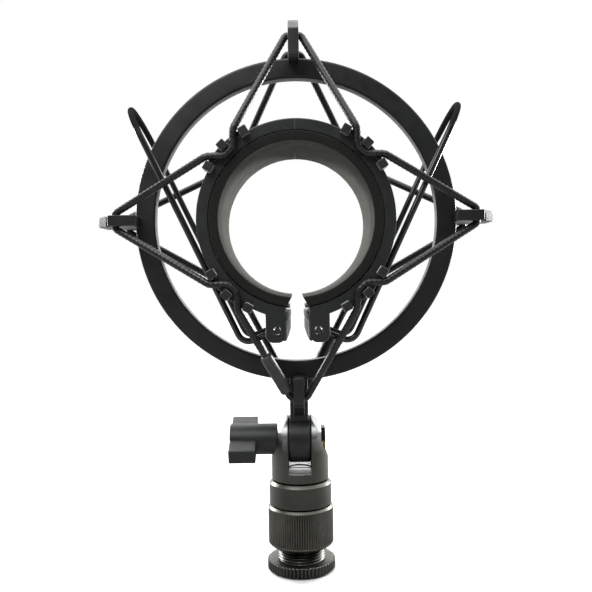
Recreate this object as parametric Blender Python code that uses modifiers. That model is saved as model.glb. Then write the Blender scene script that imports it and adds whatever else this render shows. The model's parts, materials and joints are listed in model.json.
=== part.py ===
"""Elastic suspension (shock) mount for a large microphone.

Metres, +Z up. The microphone lies along Y and the front faces -Y. The origin is the centre of the
bottom face of the thread adapter, where the mount stands on its stand.
"""

import math

import bmesh
import bpy
from mathutils import Matrix, Quaternion, Vector

MM = 0.001
GAP = 0.3 * MM  # clearance between neighbouring pieces

# Outer ring with four cord hooks, stem and pivot eye
RING_Z = 115.2 * MM
RING_R_OUT = 52.5 * MM
RING_R_IN = 46.1 * MM
RING_DEPTH = 5.4 * MM
RING_CHAMFER = 0.8 * MM
HOOK_THICK = 3.4 * MM
HOOK_R_BASE = 50.6 * MM
HOOK_R_NOTCH = 56.1 * MM
HOOK_R_LIP = 59.2 * MM
HOOK_R_SHOULDER = 60.5 * MM
HOOK_R_TIP = 63.8 * MM
HOOK_Y_TOP = 5.0 * MM
HOOK_Y_STEM = 8.7 * MM
HOOK_Y_LIP = 11.3 * MM
HOOK_Y_END = 13.0 * MM
STEM_WIDTH = 6.0 * MM
STEM_DEPTH = 8.0 * MM
EYE_R = 7.8 * MM
EYE_WIDTH = 6.5 * MM
EYE_BLOCK_DEPTH = 12.6 * MM
EYE_BLOCK_TOP_Z = 47.4 * MM

# Tilt pivot and its fasteners
PIVOT_Z = 42.9 * MM
SCREW_R = 2.5 * MM
SCREW_HOLE_R = SCREW_R + GAP
SCREW_END_X = 8.3 * MM
NUT_AF = 8.0 * MM
NUT_X = (5.1 * MM, 8.5 * MM)

# Yoke
YOKE_R = 9.4 * MM
YOKE_Z = 29.7 * MM
YOKE_TOP_Z = 50.8 * MM
YOKE_FLAT_X = 7.0 * MM
YOKE_SLOT_WIDTH = 7.2 * MM
YOKE_FLOOR_Z = 33.3 * MM
YOKE_SPOT_R = 5.7 * MM
YOKE_CHAMFER = 0.4 * MM
YOKE_DOME_R = 10.64 * MM
YOKE_DOME_Z = 40.79 * MM

# Wing knob
HUB_R = 5.1 * MM
HUB_X = (-23.0 * MM, -7.3 * MM)
WING_X = (-22.9 * MM, -14.2 * MM)
WING_THICK = 4.6 * MM
WING_LENGTH = 23.0 * MM
WING_TILT = math.radians(18)
WING_ROUND = 0.6 * MM

# Swivel: collar, screw, washer, retaining clip
COLLAR_R = 10.3 * MM
COLLAR_Z = (21.5 * MM, 29.4 * MM)
SPIGOT_R = 4.5 * MM
SPIGOT_END_Z = 17.5 * MM
GROOVE_R = 3.7 * MM
GROOVE_Z = (17.8 * MM, 18.9 * MM)
CLIP_R = (4.0 * MM, 6.1 * MM)
CLIP_Z = (18.1 * MM, 18.7 * MM)
CLIP_MOUTH = 6.6 * MM
WASHER_R = (2.6 * MM, 7.0 * MM)
WASHER_Z = (28.3 * MM, 29.4 * MM)
SWIVEL_SHANK_R = 2.0 * MM
SWIVEL_HEAD_R = 3.5 * MM
SWIVEL_SHANK_Z = 19.5 * MM
SWIVEL_HEAD_Z = (31.3 * MM, 33.0 * MM)

# Knurled sleeve and thread adapter (5/8 in stand thread, 3/8 in socket)
SLEEVE_R = 10.8 * MM
SLEEVE_Z = (8.0 * MM, 21.2 * MM)
SLEEVE_BORE_R = 8.15 * MM
SLEEVE_FLOOR_Z = 19.0 * MM
SLEEVE_NECK_R = SPIGOT_R + GAP
FLANGE_R = 11.25 * MM
FLANGE_TEETH = 56
FLANGE_TOOTH = 0.55 * MM
FLANGE_TOP_Z = 3.1 * MM
STUD_R = 7.85 * MM
STUD_TOP_Z = 12.2 * MM
SOCKET_R = 4.4 * MM

# Cradle: two shell halves, foam, spring band
CRADLE_Z = 114.4 * MM
SHELL_R = (27.05 * MM, 30.65 * MM)
SHELL_HALF_Y = 18.8 * MM
GROOVE_SHELL_R = 27.85 * MM
SPRING_HALF_Y = 14.6 * MM
SPRING_R = (27.15 * MM, 27.55 * MM)
SPRING_END_X = 2.4 * MM
FOAM_R = (23.8 * MM, 26.75 * MM)
FOAM_HALF_Y = 19.3 * MM
FOAM_END_X = (1.7 * MM, 3.2 * MM)
CROWN_HALF_GAP = 0.15 * MM
FOOT_X = (3.7 * MM, 9.9 * MM)
FOOT_BOTTOM_Z = 76.5 * MM
FOOT_ROUND = 2.4 * MM
FOOT_THICK = 3.8 * MM
FOOT_HOLE_X = 6.3 * MM
FOOT_HOLE_Z = 80.2 * MM
FOOT_HOLE_R = 1.38 * MM
WEB_X = (2.2 * MM, 4.7 * MM)
WEB_FRONT_X = 3.5 * MM
WEB_BOTTOM_Z = 76.9 * MM

# Cord stations: three square pegs on a raised pad, front and rear
STATIONS = {"right": (45.5, -46.5), "left": (134.5, 226.5)}
PEG = 2.7 * MM
SIDE_PEG_ANGLE = math.radians(14.2)
SIDE_PEG_R = 30.8 * MM
MID_PEG_R = 31.4 * MM
PEG_END_Y = 22.0 * MM
PEG_ROOT_Y = 15.0 * MM
PAD_R = 32.1 * MM
PAD_LENGTH = 17.6 * MM
PAD_DEPTH = 4.4 * MM

# Elastic cords
CORD_R = 1.1 * MM
CORD_BEND = 1.25 * MM
CORD_HOOK_Y = 10.0 * MM
CORD_STATION_Y = 20.4 * MM
JOINER_R = (1.35 * MM, 2.0 * MM)
JOINER_LENGTH = 14.0 * MM
JOINER_HOOK_CLEARANCE = 2.2 * MM
SPLICE_LENGTH = 12.0 * MM
SPLICE_FROM_HOOK = 7.0 * MM

# Wire squeeze handles
WIRE_R = 1.0 * MM
WIRE_Y = 12.3 * MM
WIRE_TAIL_Y = 19.4 * MM
WIRE_LEG_LOW = (18.7 * MM, 78.4 * MM)
WIRE_LEG_TOP = (47.9 * MM, 140.8 * MM)
WIRE_HEEL = (17.3 * MM, 75.6 * MM)
WIRE_HEEL_BEND = 3.5 * MM
WIRE_TAIL_BEND = 1.6 * MM

COLOURS = {
    "black_plastic": ((0.022, 0.023, 0.024), 0.5, 0.0),
    "foam": ((0.03, 0.03, 0.027), 0.95, 0.0),
    "cord": ((0.05, 0.05, 0.05), 0.8, 0.0),
    "joiner": ((0.06, 0.06, 0.06), 0.6, 0.0),
    "black_metal": ((0.055, 0.055, 0.05), 0.35, 0.8),
    "black_wire": ((0.012, 0.012, 0.012), 0.2, 0.3),
    "spring_steel": ((0.35, 0.35, 0.35), 0.3, 1.0),
    "brass": ((0.6, 0.42, 0.16), 0.3, 1.0),
    "nylon": ((0.6, 0.6, 0.56), 0.5, 0.0),
}


# ---------------------------------------------------------------- scene and materials

def clear_scene():
    for obj in list(bpy.data.objects):
        bpy.data.objects.remove(obj, do_unlink=True)


def new_collection(name):
    collection = bpy.data.collections.new(name)
    bpy.context.scene.collection.children.link(collection)
    return collection


def material(name):
    """The named finish, made once."""
    found = bpy.data.materials.get(name)
    if found:
        return found
    colour, roughness, metallic = COLOURS[name]
    made = bpy.data.materials.new(name)
    made.use_nodes = True
    shader = made.node_tree.nodes["Principled BSDF"]
    shader.inputs["Base Color"].default_value = (*colour, 1)
    shader.inputs["Roughness"].default_value = roughness
    shader.inputs["Metallic"].default_value = metallic
    return made


def place(obj, collection):
    """Put an object in one collection only."""
    for owner in list(obj.users_collection):
        owner.objects.unlink(obj)
    collection.objects.link(obj)


def mesh_object(name, bm):
    mesh = bpy.data.meshes.new(name)
    bmesh.ops.recalc_face_normals(bm, faces=bm.faces)
    bm.to_mesh(mesh)
    bm.free()
    obj = bpy.data.objects.new(name, mesh)
    bpy.context.scene.collection.objects.link(obj)
    return obj


def as_part(obj, name, finish, smooth_angle=40):
    """Name an object, give it its finish and smooth shading, and keep it as a part."""
    obj.name = name
    obj.data.name = name
    obj.data.materials.clear()
    obj.data.materials.append(material(finish))
    obj.data.shade_smooth()
    obj.data.set_sharp_from_angle(angle=math.radians(smooth_angle))
    place(obj, PARTS)
    return obj


def as_cutter(obj):
    obj.hide_render = True
    obj.display_type = "WIRE"
    place(obj, CUTTERS)
    return obj


# ---------------------------------------------------------------- shapes

def box(name, low, high):
    """A box from its lowest to its highest corner."""
    bm = bmesh.new()
    bmesh.ops.create_cube(bm, size=1)
    size = [b - a for a, b in zip(low, high)]
    bmesh.ops.scale(bm, vec=size, verts=bm.verts)
    obj = mesh_object(name, bm)
    obj.location = [(a + b) / 2 for a, b in zip(low, high)]
    return obj


def rod(name, radius, start, end, segments=32):
    """A cylinder between two points."""
    start, end = Vector(start), Vector(end)
    bm = bmesh.new()
    bmesh.ops.create_cone(
        bm, cap_ends=True, segments=segments, radius1=radius, radius2=radius, depth=(end - start).length
    )
    obj = mesh_object(name, bm)
    obj.rotation_mode = "QUATERNION"
    obj.rotation_quaternion = (end - start).to_track_quat("Z", "Y")
    obj.location = (start + end) / 2
    return obj


def turned(name, profile, steps=36):
    """A closed (radius, height) profile turned about +Z; its outer side is listed top to bottom."""
    bm = bmesh.new()
    points = [bm.verts.new((r, 0, z)) for r, z in profile]
    for a, b in zip(points, points[1:] + points[:1]):
        bm.edges.new((a, b))
    mesh = bpy.data.meshes.new(name)
    bm.to_mesh(mesh)
    bm.free()
    obj = bpy.data.objects.new(name, mesh)
    bpy.context.scene.collection.objects.link(obj)
    screw = obj.modifiers.new("turn", "SCREW")
    screw.steps = steps
    screw.render_steps = steps
    screw.use_merge_vertices = True
    screw.merge_threshold = 0.00001
    return obj


def mesh_from_curve(obj):
    """The curve object as a mesh object with welded caps, in the same place."""
    bpy.context.view_layer.update()
    evaluated = obj.evaluated_get(bpy.context.evaluated_depsgraph_get())
    mesh = bpy.data.meshes.new_from_object(evaluated)
    bm = bmesh.new()
    bm.from_mesh(mesh)
    bmesh.ops.remove_doubles(bm, verts=bm.verts, dist=0.000001)
    bmesh.ops.recalc_face_normals(bm, faces=bm.faces)
    bm.to_mesh(mesh)
    bm.free()
    made = bpy.data.objects.new(obj.name, mesh)
    made.matrix_world = obj.matrix_world
    bpy.context.scene.collection.objects.link(made)
    bpy.data.objects.remove(obj)
    return made


def plate(name, outlines, thickness, matrix):
    """A flat plate of the given outlines (the first is the rim), centred on the plane of matrix."""
    curve = bpy.data.curves.new(name, "CURVE")
    curve.dimensions = "2D"
    curve.fill_mode = "BOTH"
    curve.extrude = thickness / 2
    for outline in outlines:
        spline = curve.splines.new("POLY")
        spline.points.add(len(outline) - 1)
        for point, (x, y) in zip(spline.points, outline):
            point.co = (x, y, 0, 1)
        spline.use_cyclic_u = True
    obj = bpy.data.objects.new(name, curve)
    bpy.context.scene.collection.objects.link(obj)
    obj.matrix_world = matrix
    return mesh_from_curve(obj)


def wire(name, points, radius, closed=False, fineness=2):
    """A round wire along the points."""
    curve = bpy.data.curves.new(name, "CURVE")
    curve.dimensions = "3D"
    curve.bevel_depth = radius
    curve.bevel_resolution = fineness
    curve.use_fill_caps = True
    spline = curve.splines.new("POLY")
    spline.points.add(len(points) - 1)
    for point, place_at in zip(spline.points, points):
        point.co = (*place_at, 1)
    spline.use_cyclic_u = closed
    obj = bpy.data.objects.new(name, curve)
    bpy.context.scene.collection.objects.link(obj)
    return mesh_from_curve(obj)


def combine(obj, other, operation):
    """Boolean of an object with another one, which is kept as a cutter."""
    step = obj.modifiers.new(operation.lower(), "BOOLEAN")
    step.operation = operation
    step.object = as_cutter(other)
    return obj


# ---------------------------------------------------------------- outlines and paths

def arc(centre, radius, start, end, steps):
    """Points of an arc in degrees, both ends included."""
    angles = [math.radians(start + (end - start) * i / steps) for i in range(steps + 1)]
    return [(centre[0] + radius * math.cos(a), centre[1] + radius * math.sin(a)) for a in angles]


def rounded(points, radius, steps):
    """A 3D polyline whose inner corners are arcs of the given radii."""
    made = [Vector(points[0])]
    for before, corner, after, bend in zip(points, points[1:], points[2:], radius):
        corner = Vector(corner)
        towards = (Vector(before) - corner).normalized()
        onwards = (Vector(after) - corner).normalized()
        half = towards.angle(onwards) / 2
        reach = bend / math.tan(half)
        centre = corner + (towards + onwards).normalized() * bend / math.sin(half)
        first = corner + towards * reach - centre
        last = corner + onwards * reach - centre
        swing = first.rotation_difference(last)
        made += [centre + Quaternion().slerp(swing, i / steps) @ first for i in range(steps + 1)]
    made.append(Vector(points[-1]))
    return made


def polar(radius, angle):
    return Vector((radius * math.cos(angle), radius * math.sin(angle)))


def cord_corners():
    """Corners that the cord bends round, anticlockwise: (point in X and Z, side, distance from Y=0).

    Side is 1 where the cord passes outside the corner and -1 where it passes inside.
    """
    corners = []
    stations = [*STATIONS["right"], *STATIONS["left"]]
    for hook, station in zip((0, 90, 180, 270), sorted(a % 360 for a in stations)):
        along = polar(1, math.radians(hook))
        across = Vector((-along.y, along.x))
        for side in (-1, 1):
            spot = along * HOOK_R_NOTCH + across * side * HOOK_THICK / 2
            corners.append((spot + Vector((0, RING_Z)), 1, CORD_HOOK_Y))
        corners += station_corners(math.radians(station))
    return corners


def station_corners(angle):
    """The four peg corners that the cord bends round at one station."""
    centre = Vector((0, CRADLE_Z))
    found = []
    for side in (-1, 1):
        peg = angle + side * SIDE_PEG_ANGLE
        near = polar(SIDE_PEG_R + PEG / 2, peg) - side * polar(PEG / 2, peg + math.pi / 2)
        inner = polar(MID_PEG_R - PEG / 2, angle) + side * polar(PEG / 2, angle + math.pi / 2)
        found += [(centre + near, 1, CORD_STATION_Y), (centre + inner, -1, CORD_STATION_Y)][::-side]
    return found


def cord_path(y_side, bend_steps=2):
    """The closed path of a cord: arcs round the corners, straight between them."""
    corners = cord_corners()
    headings = []
    for (a, side_a, _), (b, side_b, _) in zip(corners, corners[1:] + corners[:1]):
        way = b - a
        lean = math.asin((side_b - side_a) * CORD_BEND / way.length)
        headings.append(math.atan2(way.y, way.x) - lean)
    path = []
    for i, (corner, side, depth) in enumerate(corners):
        arrive, leave = headings[i - 1], headings[i]
        turn = (leave - arrive + math.pi) % (2 * math.pi) - math.pi
        for k in range(bend_steps + 1):
            heading = arrive + turn * k / bend_steps
            spot = corner - side * CORD_BEND * Vector((-math.sin(heading), math.cos(heading)))
            path.append(Vector((spot.x, y_side * depth, spot.y)))
    return path


def longest_strands(path):
    """The free strands of a cord, as (start, end), in order along the path."""
    pairs = list(zip(path, path[1:] + path[:1]))
    return [pair for pair in pairs if (pair[1] - pair[0]).length > 20 * MM]


# ---------------------------------------------------------------- matrices

def facing_front(x=0, y=0, z=0):
    """Plane of X and Z, seen from the front."""
    return Matrix.Translation((x, y, z)) @ Matrix.Rotation(math.pi / 2, 4, "X")


def around_y(angle, z):
    """Local X points away from the Y axis at the angle, local Y stays along Y."""
    return Matrix.Translation((0, 0, z)) @ Matrix.Rotation(-angle, 4, "Y")


# ---------------------------------------------------------------- stand end

def make_thread_adapter():
    teeth = []
    for i in range(FLANGE_TEETH):
        step = 2 * math.pi / FLANGE_TEETH
        for share, radius in ((0, FLANGE_R - FLANGE_TOOTH), (0.5, FLANGE_R)):
            teeth.append(tuple(polar(radius, (i + share) * step)))
    flange = plate("flange", [teeth], FLANGE_TOP_Z, Matrix.Translation((0, 0, FLANGE_TOP_Z / 2)))
    stud = rod("stud", STUD_R, (0, 0, FLANGE_TOP_Z / 2), (0, 0, STUD_TOP_Z), 36)
    socket = rod("socket", SOCKET_R, (0, 0, -MM), (0, 0, STUD_TOP_Z + MM))
    combine(flange, stud, "UNION")
    combine(flange, socket, "DIFFERENCE")
    return as_part(flange, "thread_adapter", "black_metal")


def make_sleeve():
    low, high = SLEEVE_Z
    edge = 0.6 * MM
    profile = [
        (SLEEVE_R - edge, high),
        (SLEEVE_R, high - edge),
        (SLEEVE_R, low + edge),
        (SLEEVE_R - edge, low),
        (SLEEVE_BORE_R, low),
        (SLEEVE_BORE_R, SLEEVE_FLOOR_Z),
        (SLEEVE_NECK_R, SLEEVE_FLOOR_Z),
        (SLEEVE_NECK_R, high),
    ]
    return as_part(turned("sleeve", profile), "knurled_sleeve", "black_metal")


def make_collar():
    low, high = COLLAR_Z
    edge = 0.7 * MM
    recess_r = WASHER_R[1] + GAP
    recess_z = WASHER_Z[0] - GAP
    bore_r = SWIVEL_SHANK_R + GAP
    profile = [
        (recess_r, high),
        (COLLAR_R - edge, high),
        (COLLAR_R, high - edge),
        (COLLAR_R, low + edge / 2),
        (COLLAR_R - edge / 2, low),
        (SPIGOT_R, low),
        (SPIGOT_R, GROOVE_Z[1]),
        (GROOVE_R, GROOVE_Z[1]),
        (GROOVE_R, GROOVE_Z[0]),
        (SPIGOT_R, GROOVE_Z[0]),
        (SPIGOT_R, SPIGOT_END_Z),
        (bore_r, SPIGOT_END_Z),
        (bore_r, recess_z),
        (recess_r, recess_z),
    ]
    return as_part(turned("collar", profile), "swivel_collar", "black_metal")


def make_sleeve_clip():
    inner, outer = CLIP_R
    low, high = CLIP_Z
    clip = turned("clip", [(outer, high), (outer, low), (inner, low), (inner, high)], 32)
    mouth = box("clip_mouth", (0, -CLIP_MOUTH / 2, low - MM), (outer + MM, CLIP_MOUTH / 2, high + MM))
    return as_part(combine(clip, mouth, "DIFFERENCE"), "sleeve_clip", "spring_steel")


def make_washer():
    inner, outer = WASHER_R
    low, high = WASHER_Z
    washer = turned("washer", [(outer, high), (outer, low), (inner, low), (inner, high)], 32)
    return as_part(washer, "swivel_washer", "nylon")


def make_swivel_screw():
    low, high = SWIVEL_HEAD_Z
    screw = rod("screw", SWIVEL_HEAD_R, (0, 0, low), (0, 0, high))
    shank = rod("shank", SWIVEL_SHANK_R, (0, 0, SWIVEL_SHANK_Z), (0, 0, (low + high) / 2), 24)
    slot = box("slot", (-5 * MM, -0.5 * MM, high - 0.8 * MM), (5 * MM, 0.5 * MM, high + MM))
    combine(screw, shank, "UNION")
    combine(screw, slot, "DIFFERENCE")
    return as_part(screw, "swivel_screw", "spring_steel")


# ---------------------------------------------------------------- yoke and knob

def make_yoke():
    edge = YOKE_CHAMFER
    bore_r = SWIVEL_SHANK_R + GAP
    start, end = (math.degrees(math.acos(r / YOKE_DOME_R)) for r in (bore_r, YOKE_R))
    profile = arc((0, YOKE_DOME_Z), YOKE_DOME_R, start, end, 8)
    profile += [(YOKE_R, YOKE_Z + edge), (YOKE_R - edge, YOKE_Z), (bore_r, YOKE_Z)]
    yoke = turned("yoke", profile)
    half_slot = YOKE_SLOT_WIDTH / 2
    reach = 2 * YOKE_R
    slot = box("yoke_slot", (-half_slot, -reach, YOKE_FLOOR_Z), (half_slot, reach, reach + YOKE_TOP_Z))
    combine(yoke, slot, "DIFFERENCE")
    for side in (-1, 1):
        flat_x = sorted((side * YOKE_FLAT_X, side * reach))
        flat = box("yoke_flat", (flat_x[0], -reach, PIVOT_Z), (flat_x[1], reach, reach + YOKE_TOP_Z))
        combine(yoke, flat, "DIFFERENCE")
        ends = [(x, 0, PIVOT_Z) for x in (side * YOKE_FLAT_X, side * reach)]
        combine(yoke, rod("yoke_spot", YOKE_SPOT_R, *ends), "DIFFERENCE")
    combine(yoke, round_top_cutter(), "INTERSECT")
    head_pocket = rod(
        "head_pocket", SWIVEL_HEAD_R + GAP, (0, 0, SWIVEL_HEAD_Z[0] - GAP), (0, 0, YOKE_FLOOR_Z + MM)
    )
    combine(yoke, head_pocket, "DIFFERENCE")
    pivot_hole = rod("pivot_hole", SCREW_HOLE_R, (-reach, 0, PIVOT_Z), (reach, 0, PIVOT_Z), 24)
    combine(yoke, pivot_hole, "DIFFERENCE")
    pocket = rod(
        "nut_pocket", (NUT_AF / 2 + GAP) / math.cos(math.pi / 6),
        (NUT_X[0] - GAP, 0, PIVOT_Z), (reach, 0, PIVOT_Z), 6
    )
    combine(yoke, pocket, "DIFFERENCE")
    return as_part(yoke, "yoke", "black_metal")


def round_top_cutter():
    """Rounds the ears over the pivot, seen along X."""
    radius = YOKE_TOP_Z - PIVOT_Z
    side = YOKE_R + MM
    top = arc((0, PIVOT_Z), radius, 0, 180, 16)
    outline = [(-side, PIVOT_Z - 4 * MM), (-side, YOKE_Z - MM), (side, YOKE_Z - MM), (side, PIVOT_Z - 4 * MM)]
    turn = Matrix.Rotation(math.pi / 2, 4, "Z") @ Matrix.Rotation(math.pi / 2, 4, "X")
    return plate("yoke_top", [outline + top], 4 * YOKE_R, turn)


def make_pivot_nut():
    corner = NUT_AF / 2 / math.cos(math.pi / 6)
    nut = rod("nut", corner, (NUT_X[0], 0, PIVOT_Z), (NUT_X[1], 0, PIVOT_Z), 6)
    hole = rod("nut_hole", SCREW_HOLE_R, (0, 0, PIVOT_Z), (NUT_X[1] + MM, 0, PIVOT_Z), 24)
    return as_part(combine(nut, hole, "DIFFERENCE"), "pivot_nut", "brass")


def make_clamp_screw():
    start = (HUB_X[0] + 3 * MM, 0, PIVOT_Z)
    screw = rod("clamp", SCREW_R, start, (SCREW_END_X, 0, PIVOT_Z), 24)
    return as_part(screw, "clamp_screw", "spring_steel")


def make_wing_knob():
    hub = rod("hub", HUB_R, (HUB_X[0], 0, PIVOT_Z), (HUB_X[1], 0, PIVOT_Z), 40)
    bend = WING_ROUND
    x, y = WING_LENGTH / 2 - bend, WING_THICK / 2 - bend
    outline = []
    for corner, start in (((x, y), 0), ((-x, y), 90), ((-x, -y), 180), ((x, -y), 270)):
        outline += arc(corner, bend, start, start + 90, 3)
    turn = Matrix.Rotation(math.pi / 2, 4, "Z") @ Matrix.Rotation(math.pi / 2, 4, "X")
    lean = Matrix.Rotation(WING_TILT, 4, "X")
    spot = Matrix.Translation((sum(WING_X) / 2, 0, PIVOT_Z))
    wing = plate("wing", [outline], WING_X[1] - WING_X[0], spot @ lean @ turn)
    bore = rod(
        "knob_bore", SCREW_HOLE_R, (HUB_X[0] + 3 * MM - GAP, 0, PIVOT_Z), (HUB_X[1] + MM, 0, PIVOT_Z), 24
    )
    combine(hub, wing, "UNION")
    combine(hub, bore, "DIFFERENCE")
    return as_part(hub, "wing_knob", "black_plastic")


# ---------------------------------------------------------------- outer ring

def hook_outline():
    """Outline of a hook plate: x is the radius, y the distance along the microphone axis."""
    front = [
        (HOOK_R_BASE, HOOK_Y_END),
        (HOOK_R_LIP - 0.5 * MM, HOOK_Y_END),
        (HOOK_R_LIP, HOOK_Y_END - 0.5 * MM),
        (HOOK_R_LIP, HOOK_Y_LIP + 0.4 * MM),
        (HOOK_R_LIP - 0.4 * MM, HOOK_Y_LIP),
        (HOOK_R_NOTCH, HOOK_Y_LIP),
        (HOOK_R_NOTCH, HOOK_Y_STEM),
        (HOOK_R_SHOULDER, HOOK_Y_STEM),
        (HOOK_R_TIP, HOOK_Y_TOP),
    ]
    return front + [(r, -y) for r, y in reversed(front)]


def make_outer_ring():
    half, edge = RING_DEPTH / 2, RING_CHAMFER
    profile = [
        (RING_R_OUT - edge, half),
        (RING_R_OUT, half - edge),
        (RING_R_OUT, edge - half),
        (RING_R_OUT - edge, -half),
        (RING_R_IN + edge, -half),
        (RING_R_IN, edge - half),
        (RING_R_IN, half - edge),
        (RING_R_IN + edge, half),
    ]
    ring = turned("ring", profile, 72)
    ring.matrix_world = facing_front(z=RING_Z)
    for angle in (0, 90, 180, 270):
        hook = plate("hook", [hook_outline()], HOOK_THICK, around_y(math.radians(angle), RING_Z))
        combine(ring, hook, "UNION")
    low = (-STEM_WIDTH / 2, -STEM_DEPTH / 2, PIVOT_Z)
    high = (STEM_WIDTH / 2, STEM_DEPTH / 2, RING_Z - RING_R_OUT + 1.5 * MM)
    combine(ring, box("stem", low, high), "UNION")
    half_eye = EYE_WIDTH / 2
    block = box(
        "eye_block",
        (-half_eye, -EYE_BLOCK_DEPTH / 2, PIVOT_Z), (half_eye, EYE_BLOCK_DEPTH / 2, EYE_BLOCK_TOP_Z),
    )
    eye = rod("eye", EYE_R, (-half_eye, 0, PIVOT_Z), (half_eye, 0, PIVOT_Z), 40)
    combine(ring, combine(eye, block, "UNION"), "UNION")
    hole = rod("eye_hole", SCREW_HOLE_R, (-STEM_WIDTH, 0, PIVOT_Z), (STEM_WIDTH, 0, PIVOT_Z), 24)
    combine(ring, hole, "DIFFERENCE")
    return as_part(ring, "outer_ring", "black_plastic")


# ---------------------------------------------------------------- cradle

def half_region(name, side, reach, crown_gap, mouth):
    """Cutter that keeps one half of a C shape: an outline in X and Z, as long as the cradle."""
    top = [(side * crown_gap, CRADLE_Z), (side * crown_gap, CRADLE_Z + reach)]
    far = [(side * reach, CRADLE_Z + reach), (side * reach, CRADLE_Z - reach)]
    return plate(name, [top + far + mouth], 3 * FOAM_HALF_Y, facing_front())


def make_shell(side_name, side):
    inner, outer = SHELL_R
    edge = 0.35 * MM
    half, groove = SHELL_HALF_Y, SPRING_HALF_Y + GAP
    profile = [
        (outer - edge, half),
        (outer, half - edge),
        (outer, edge - half),
        (outer - edge, -half),
        (inner, -half),
        (inner, -groove),
        (GROOVE_SHELL_R, -groove),
        (GROOVE_SHELL_R, groove),
        (inner, groove),
        (inner, half),
    ]
    shell = turned("shell", profile, 60)
    shell.matrix_world = facing_front(z=CRADLE_Z)
    mouth_x = side * FOOT_X[0]
    mouth = [(mouth_x, CRADLE_Z - 2 * outer), (mouth_x, CRADLE_Z - 0.6 * inner)]
    region = half_region("shell_region", side, 2 * outer, CROWN_HALF_GAP, mouth)
    combine(shell, region, "INTERSECT")
    add_feet(shell, side)
    for angle in STATIONS[side_name]:
        for y_side in (-1, 1):
            add_station(shell, math.radians(angle), y_side)
    return as_part(shell, "cradle_shell_" + side_name, "black_plastic")


def add_feet(shell, side):
    inner_x, outer_x = FOOT_X
    low = FOOT_BOTTOM_Z
    shoulder_z = CRADLE_Z - SHELL_R[1] + 1.5 * MM
    outline = arc((outer_x - FOOT_ROUND, low + FOOT_ROUND), FOOT_ROUND, 0, -90, 5)
    outline += arc((inner_x + FOOT_ROUND, low + FOOT_ROUND), FOOT_ROUND, -90, -180, 5)
    outline += [(inner_x, shoulder_z + 1.0 * MM), (outer_x, shoulder_z + 2.4 * MM)]
    outline = [(side * x, z) for x, z in outline]
    for y_side in (-1, 1):
        y = y_side * (SHELL_HALF_Y - FOOT_THICK / 2)
        combine(shell, plate("foot", [outline], FOOT_THICK, facing_front(y=y)), "UNION")
    near, far = (side * x for x in WEB_X)
    base = WEB_BOTTOM_Z
    web = [(near, shoulder_z), (near, base + 2 * MM), (near + side * 0.8 * MM, base + 0.6 * MM)]
    web += [(far - side * 0.6 * MM, base), (far, base + 0.4 * MM), (far, shoulder_z + 1.2 * MM)]
    web += [(side * (FOOT_X[0] + GAP), shoulder_z + 1.2 * MM), (side * (FOOT_X[0] + GAP), shoulder_z)]
    combine(shell, plate("web", [web], 2 * (SHELL_HALF_Y - MM), facing_front()), "UNION")
    slant = [(WEB_FRONT_X, -SHELL_HALF_Y), (near * side, SHELL_HALF_Y), (0, SHELL_HALF_Y), (0, -SHELL_HALF_Y)]
    slant = [(side * x, y) for x, y in slant]
    level = Matrix.Translation((0, 0, (shoulder_z + WEB_BOTTOM_Z) / 2))
    combine(shell, plate("web_slant", [slant], 2 * (shoulder_z - WEB_BOTTOM_Z), level), "DIFFERENCE")
    reach = SHELL_HALF_Y + 2 * MM
    spot = side * FOOT_HOLE_X
    for y_side in (-1, 1):
        ends = [(spot, y_side * y, FOOT_HOLE_Z) for y in (reach, SHELL_HALF_Y - FOOT_THICK - MM)]
        combine(shell, rod("foot_hole", FOOT_HOLE_R, *ends, 20), "DIFFERENCE")


def add_station(shell, angle, y_side):
    """Raised pad and its three square pegs."""
    centre = Matrix.Translation((0, 0, CRADLE_Z))
    half = SHELL_HALF_Y
    pad_y = sorted((y_side * (half - PAD_DEPTH), y_side * (half - 0.2 * MM)))
    pad = box(
        "pad", (SHELL_R[0] + MM, pad_y[0], -PAD_LENGTH / 2), (PAD_R, pad_y[1], PAD_LENGTH / 2)
    )
    pad.matrix_world = centre @ Matrix.Rotation(-angle, 4, "Y") @ Matrix.Translation(pad.location)
    round_off = rod("pad_round", PAD_R, (0, -2 * half, CRADLE_Z), (0, 2 * half, CRADLE_Z), 60)
    combine(shell, combine(pad, round_off, "INTERSECT"), "UNION")
    for turn, radius in ((-SIDE_PEG_ANGLE, SIDE_PEG_R), (0, MID_PEG_R), (SIDE_PEG_ANGLE, SIDE_PEG_R)):
        peg_y = sorted((y_side * PEG_ROOT_Y, y_side * PEG_END_Y))
        peg = box("peg", (radius - PEG / 2, peg_y[0], -PEG / 2), (radius + PEG / 2, peg_y[1], PEG / 2))
        spin = Matrix.Rotation(-(angle + turn), 4, "Y")
        peg.matrix_world = centre @ spin @ Matrix.Translation(peg.location)
        combine(shell, peg, "UNION")


def make_foam(side_name, side):
    inner, outer = FOAM_R
    half = FOAM_HALF_Y
    foam = turned("foam", [(outer, half), (outer, -half), (inner, -half), (inner, half)], 60)
    foam.matrix_world = facing_front(z=CRADLE_Z)
    near, far = (side * x for x in FOAM_END_X)
    slope = (far - near) / (outer - inner)
    mouth = [(near + slope * outer, CRADLE_Z - inner - outer), (near - slope * inner, CRADLE_Z)]
    region = half_region("foam_region", side, 2 * outer, CROWN_HALF_GAP, mouth)
    return as_part(combine(foam, region, "INTERSECT"), "foam_liner_" + side_name, "foam")


def make_clamp_spring():
    inner, outer = SPRING_R
    mouth = math.degrees(math.asin(SPRING_END_X / inner))
    start, end = -90 + mouth, 270 - mouth
    centre = (0, CRADLE_Z)
    outline = arc(centre, outer, start, end, 56) + arc(centre, inner, end, start, 56)
    spring = plate("spring", [outline], 2 * SPRING_HALF_Y, facing_front())
    return as_part(spring, "clamp_spring", "spring_steel")


# ---------------------------------------------------------------- cords and handles

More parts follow.
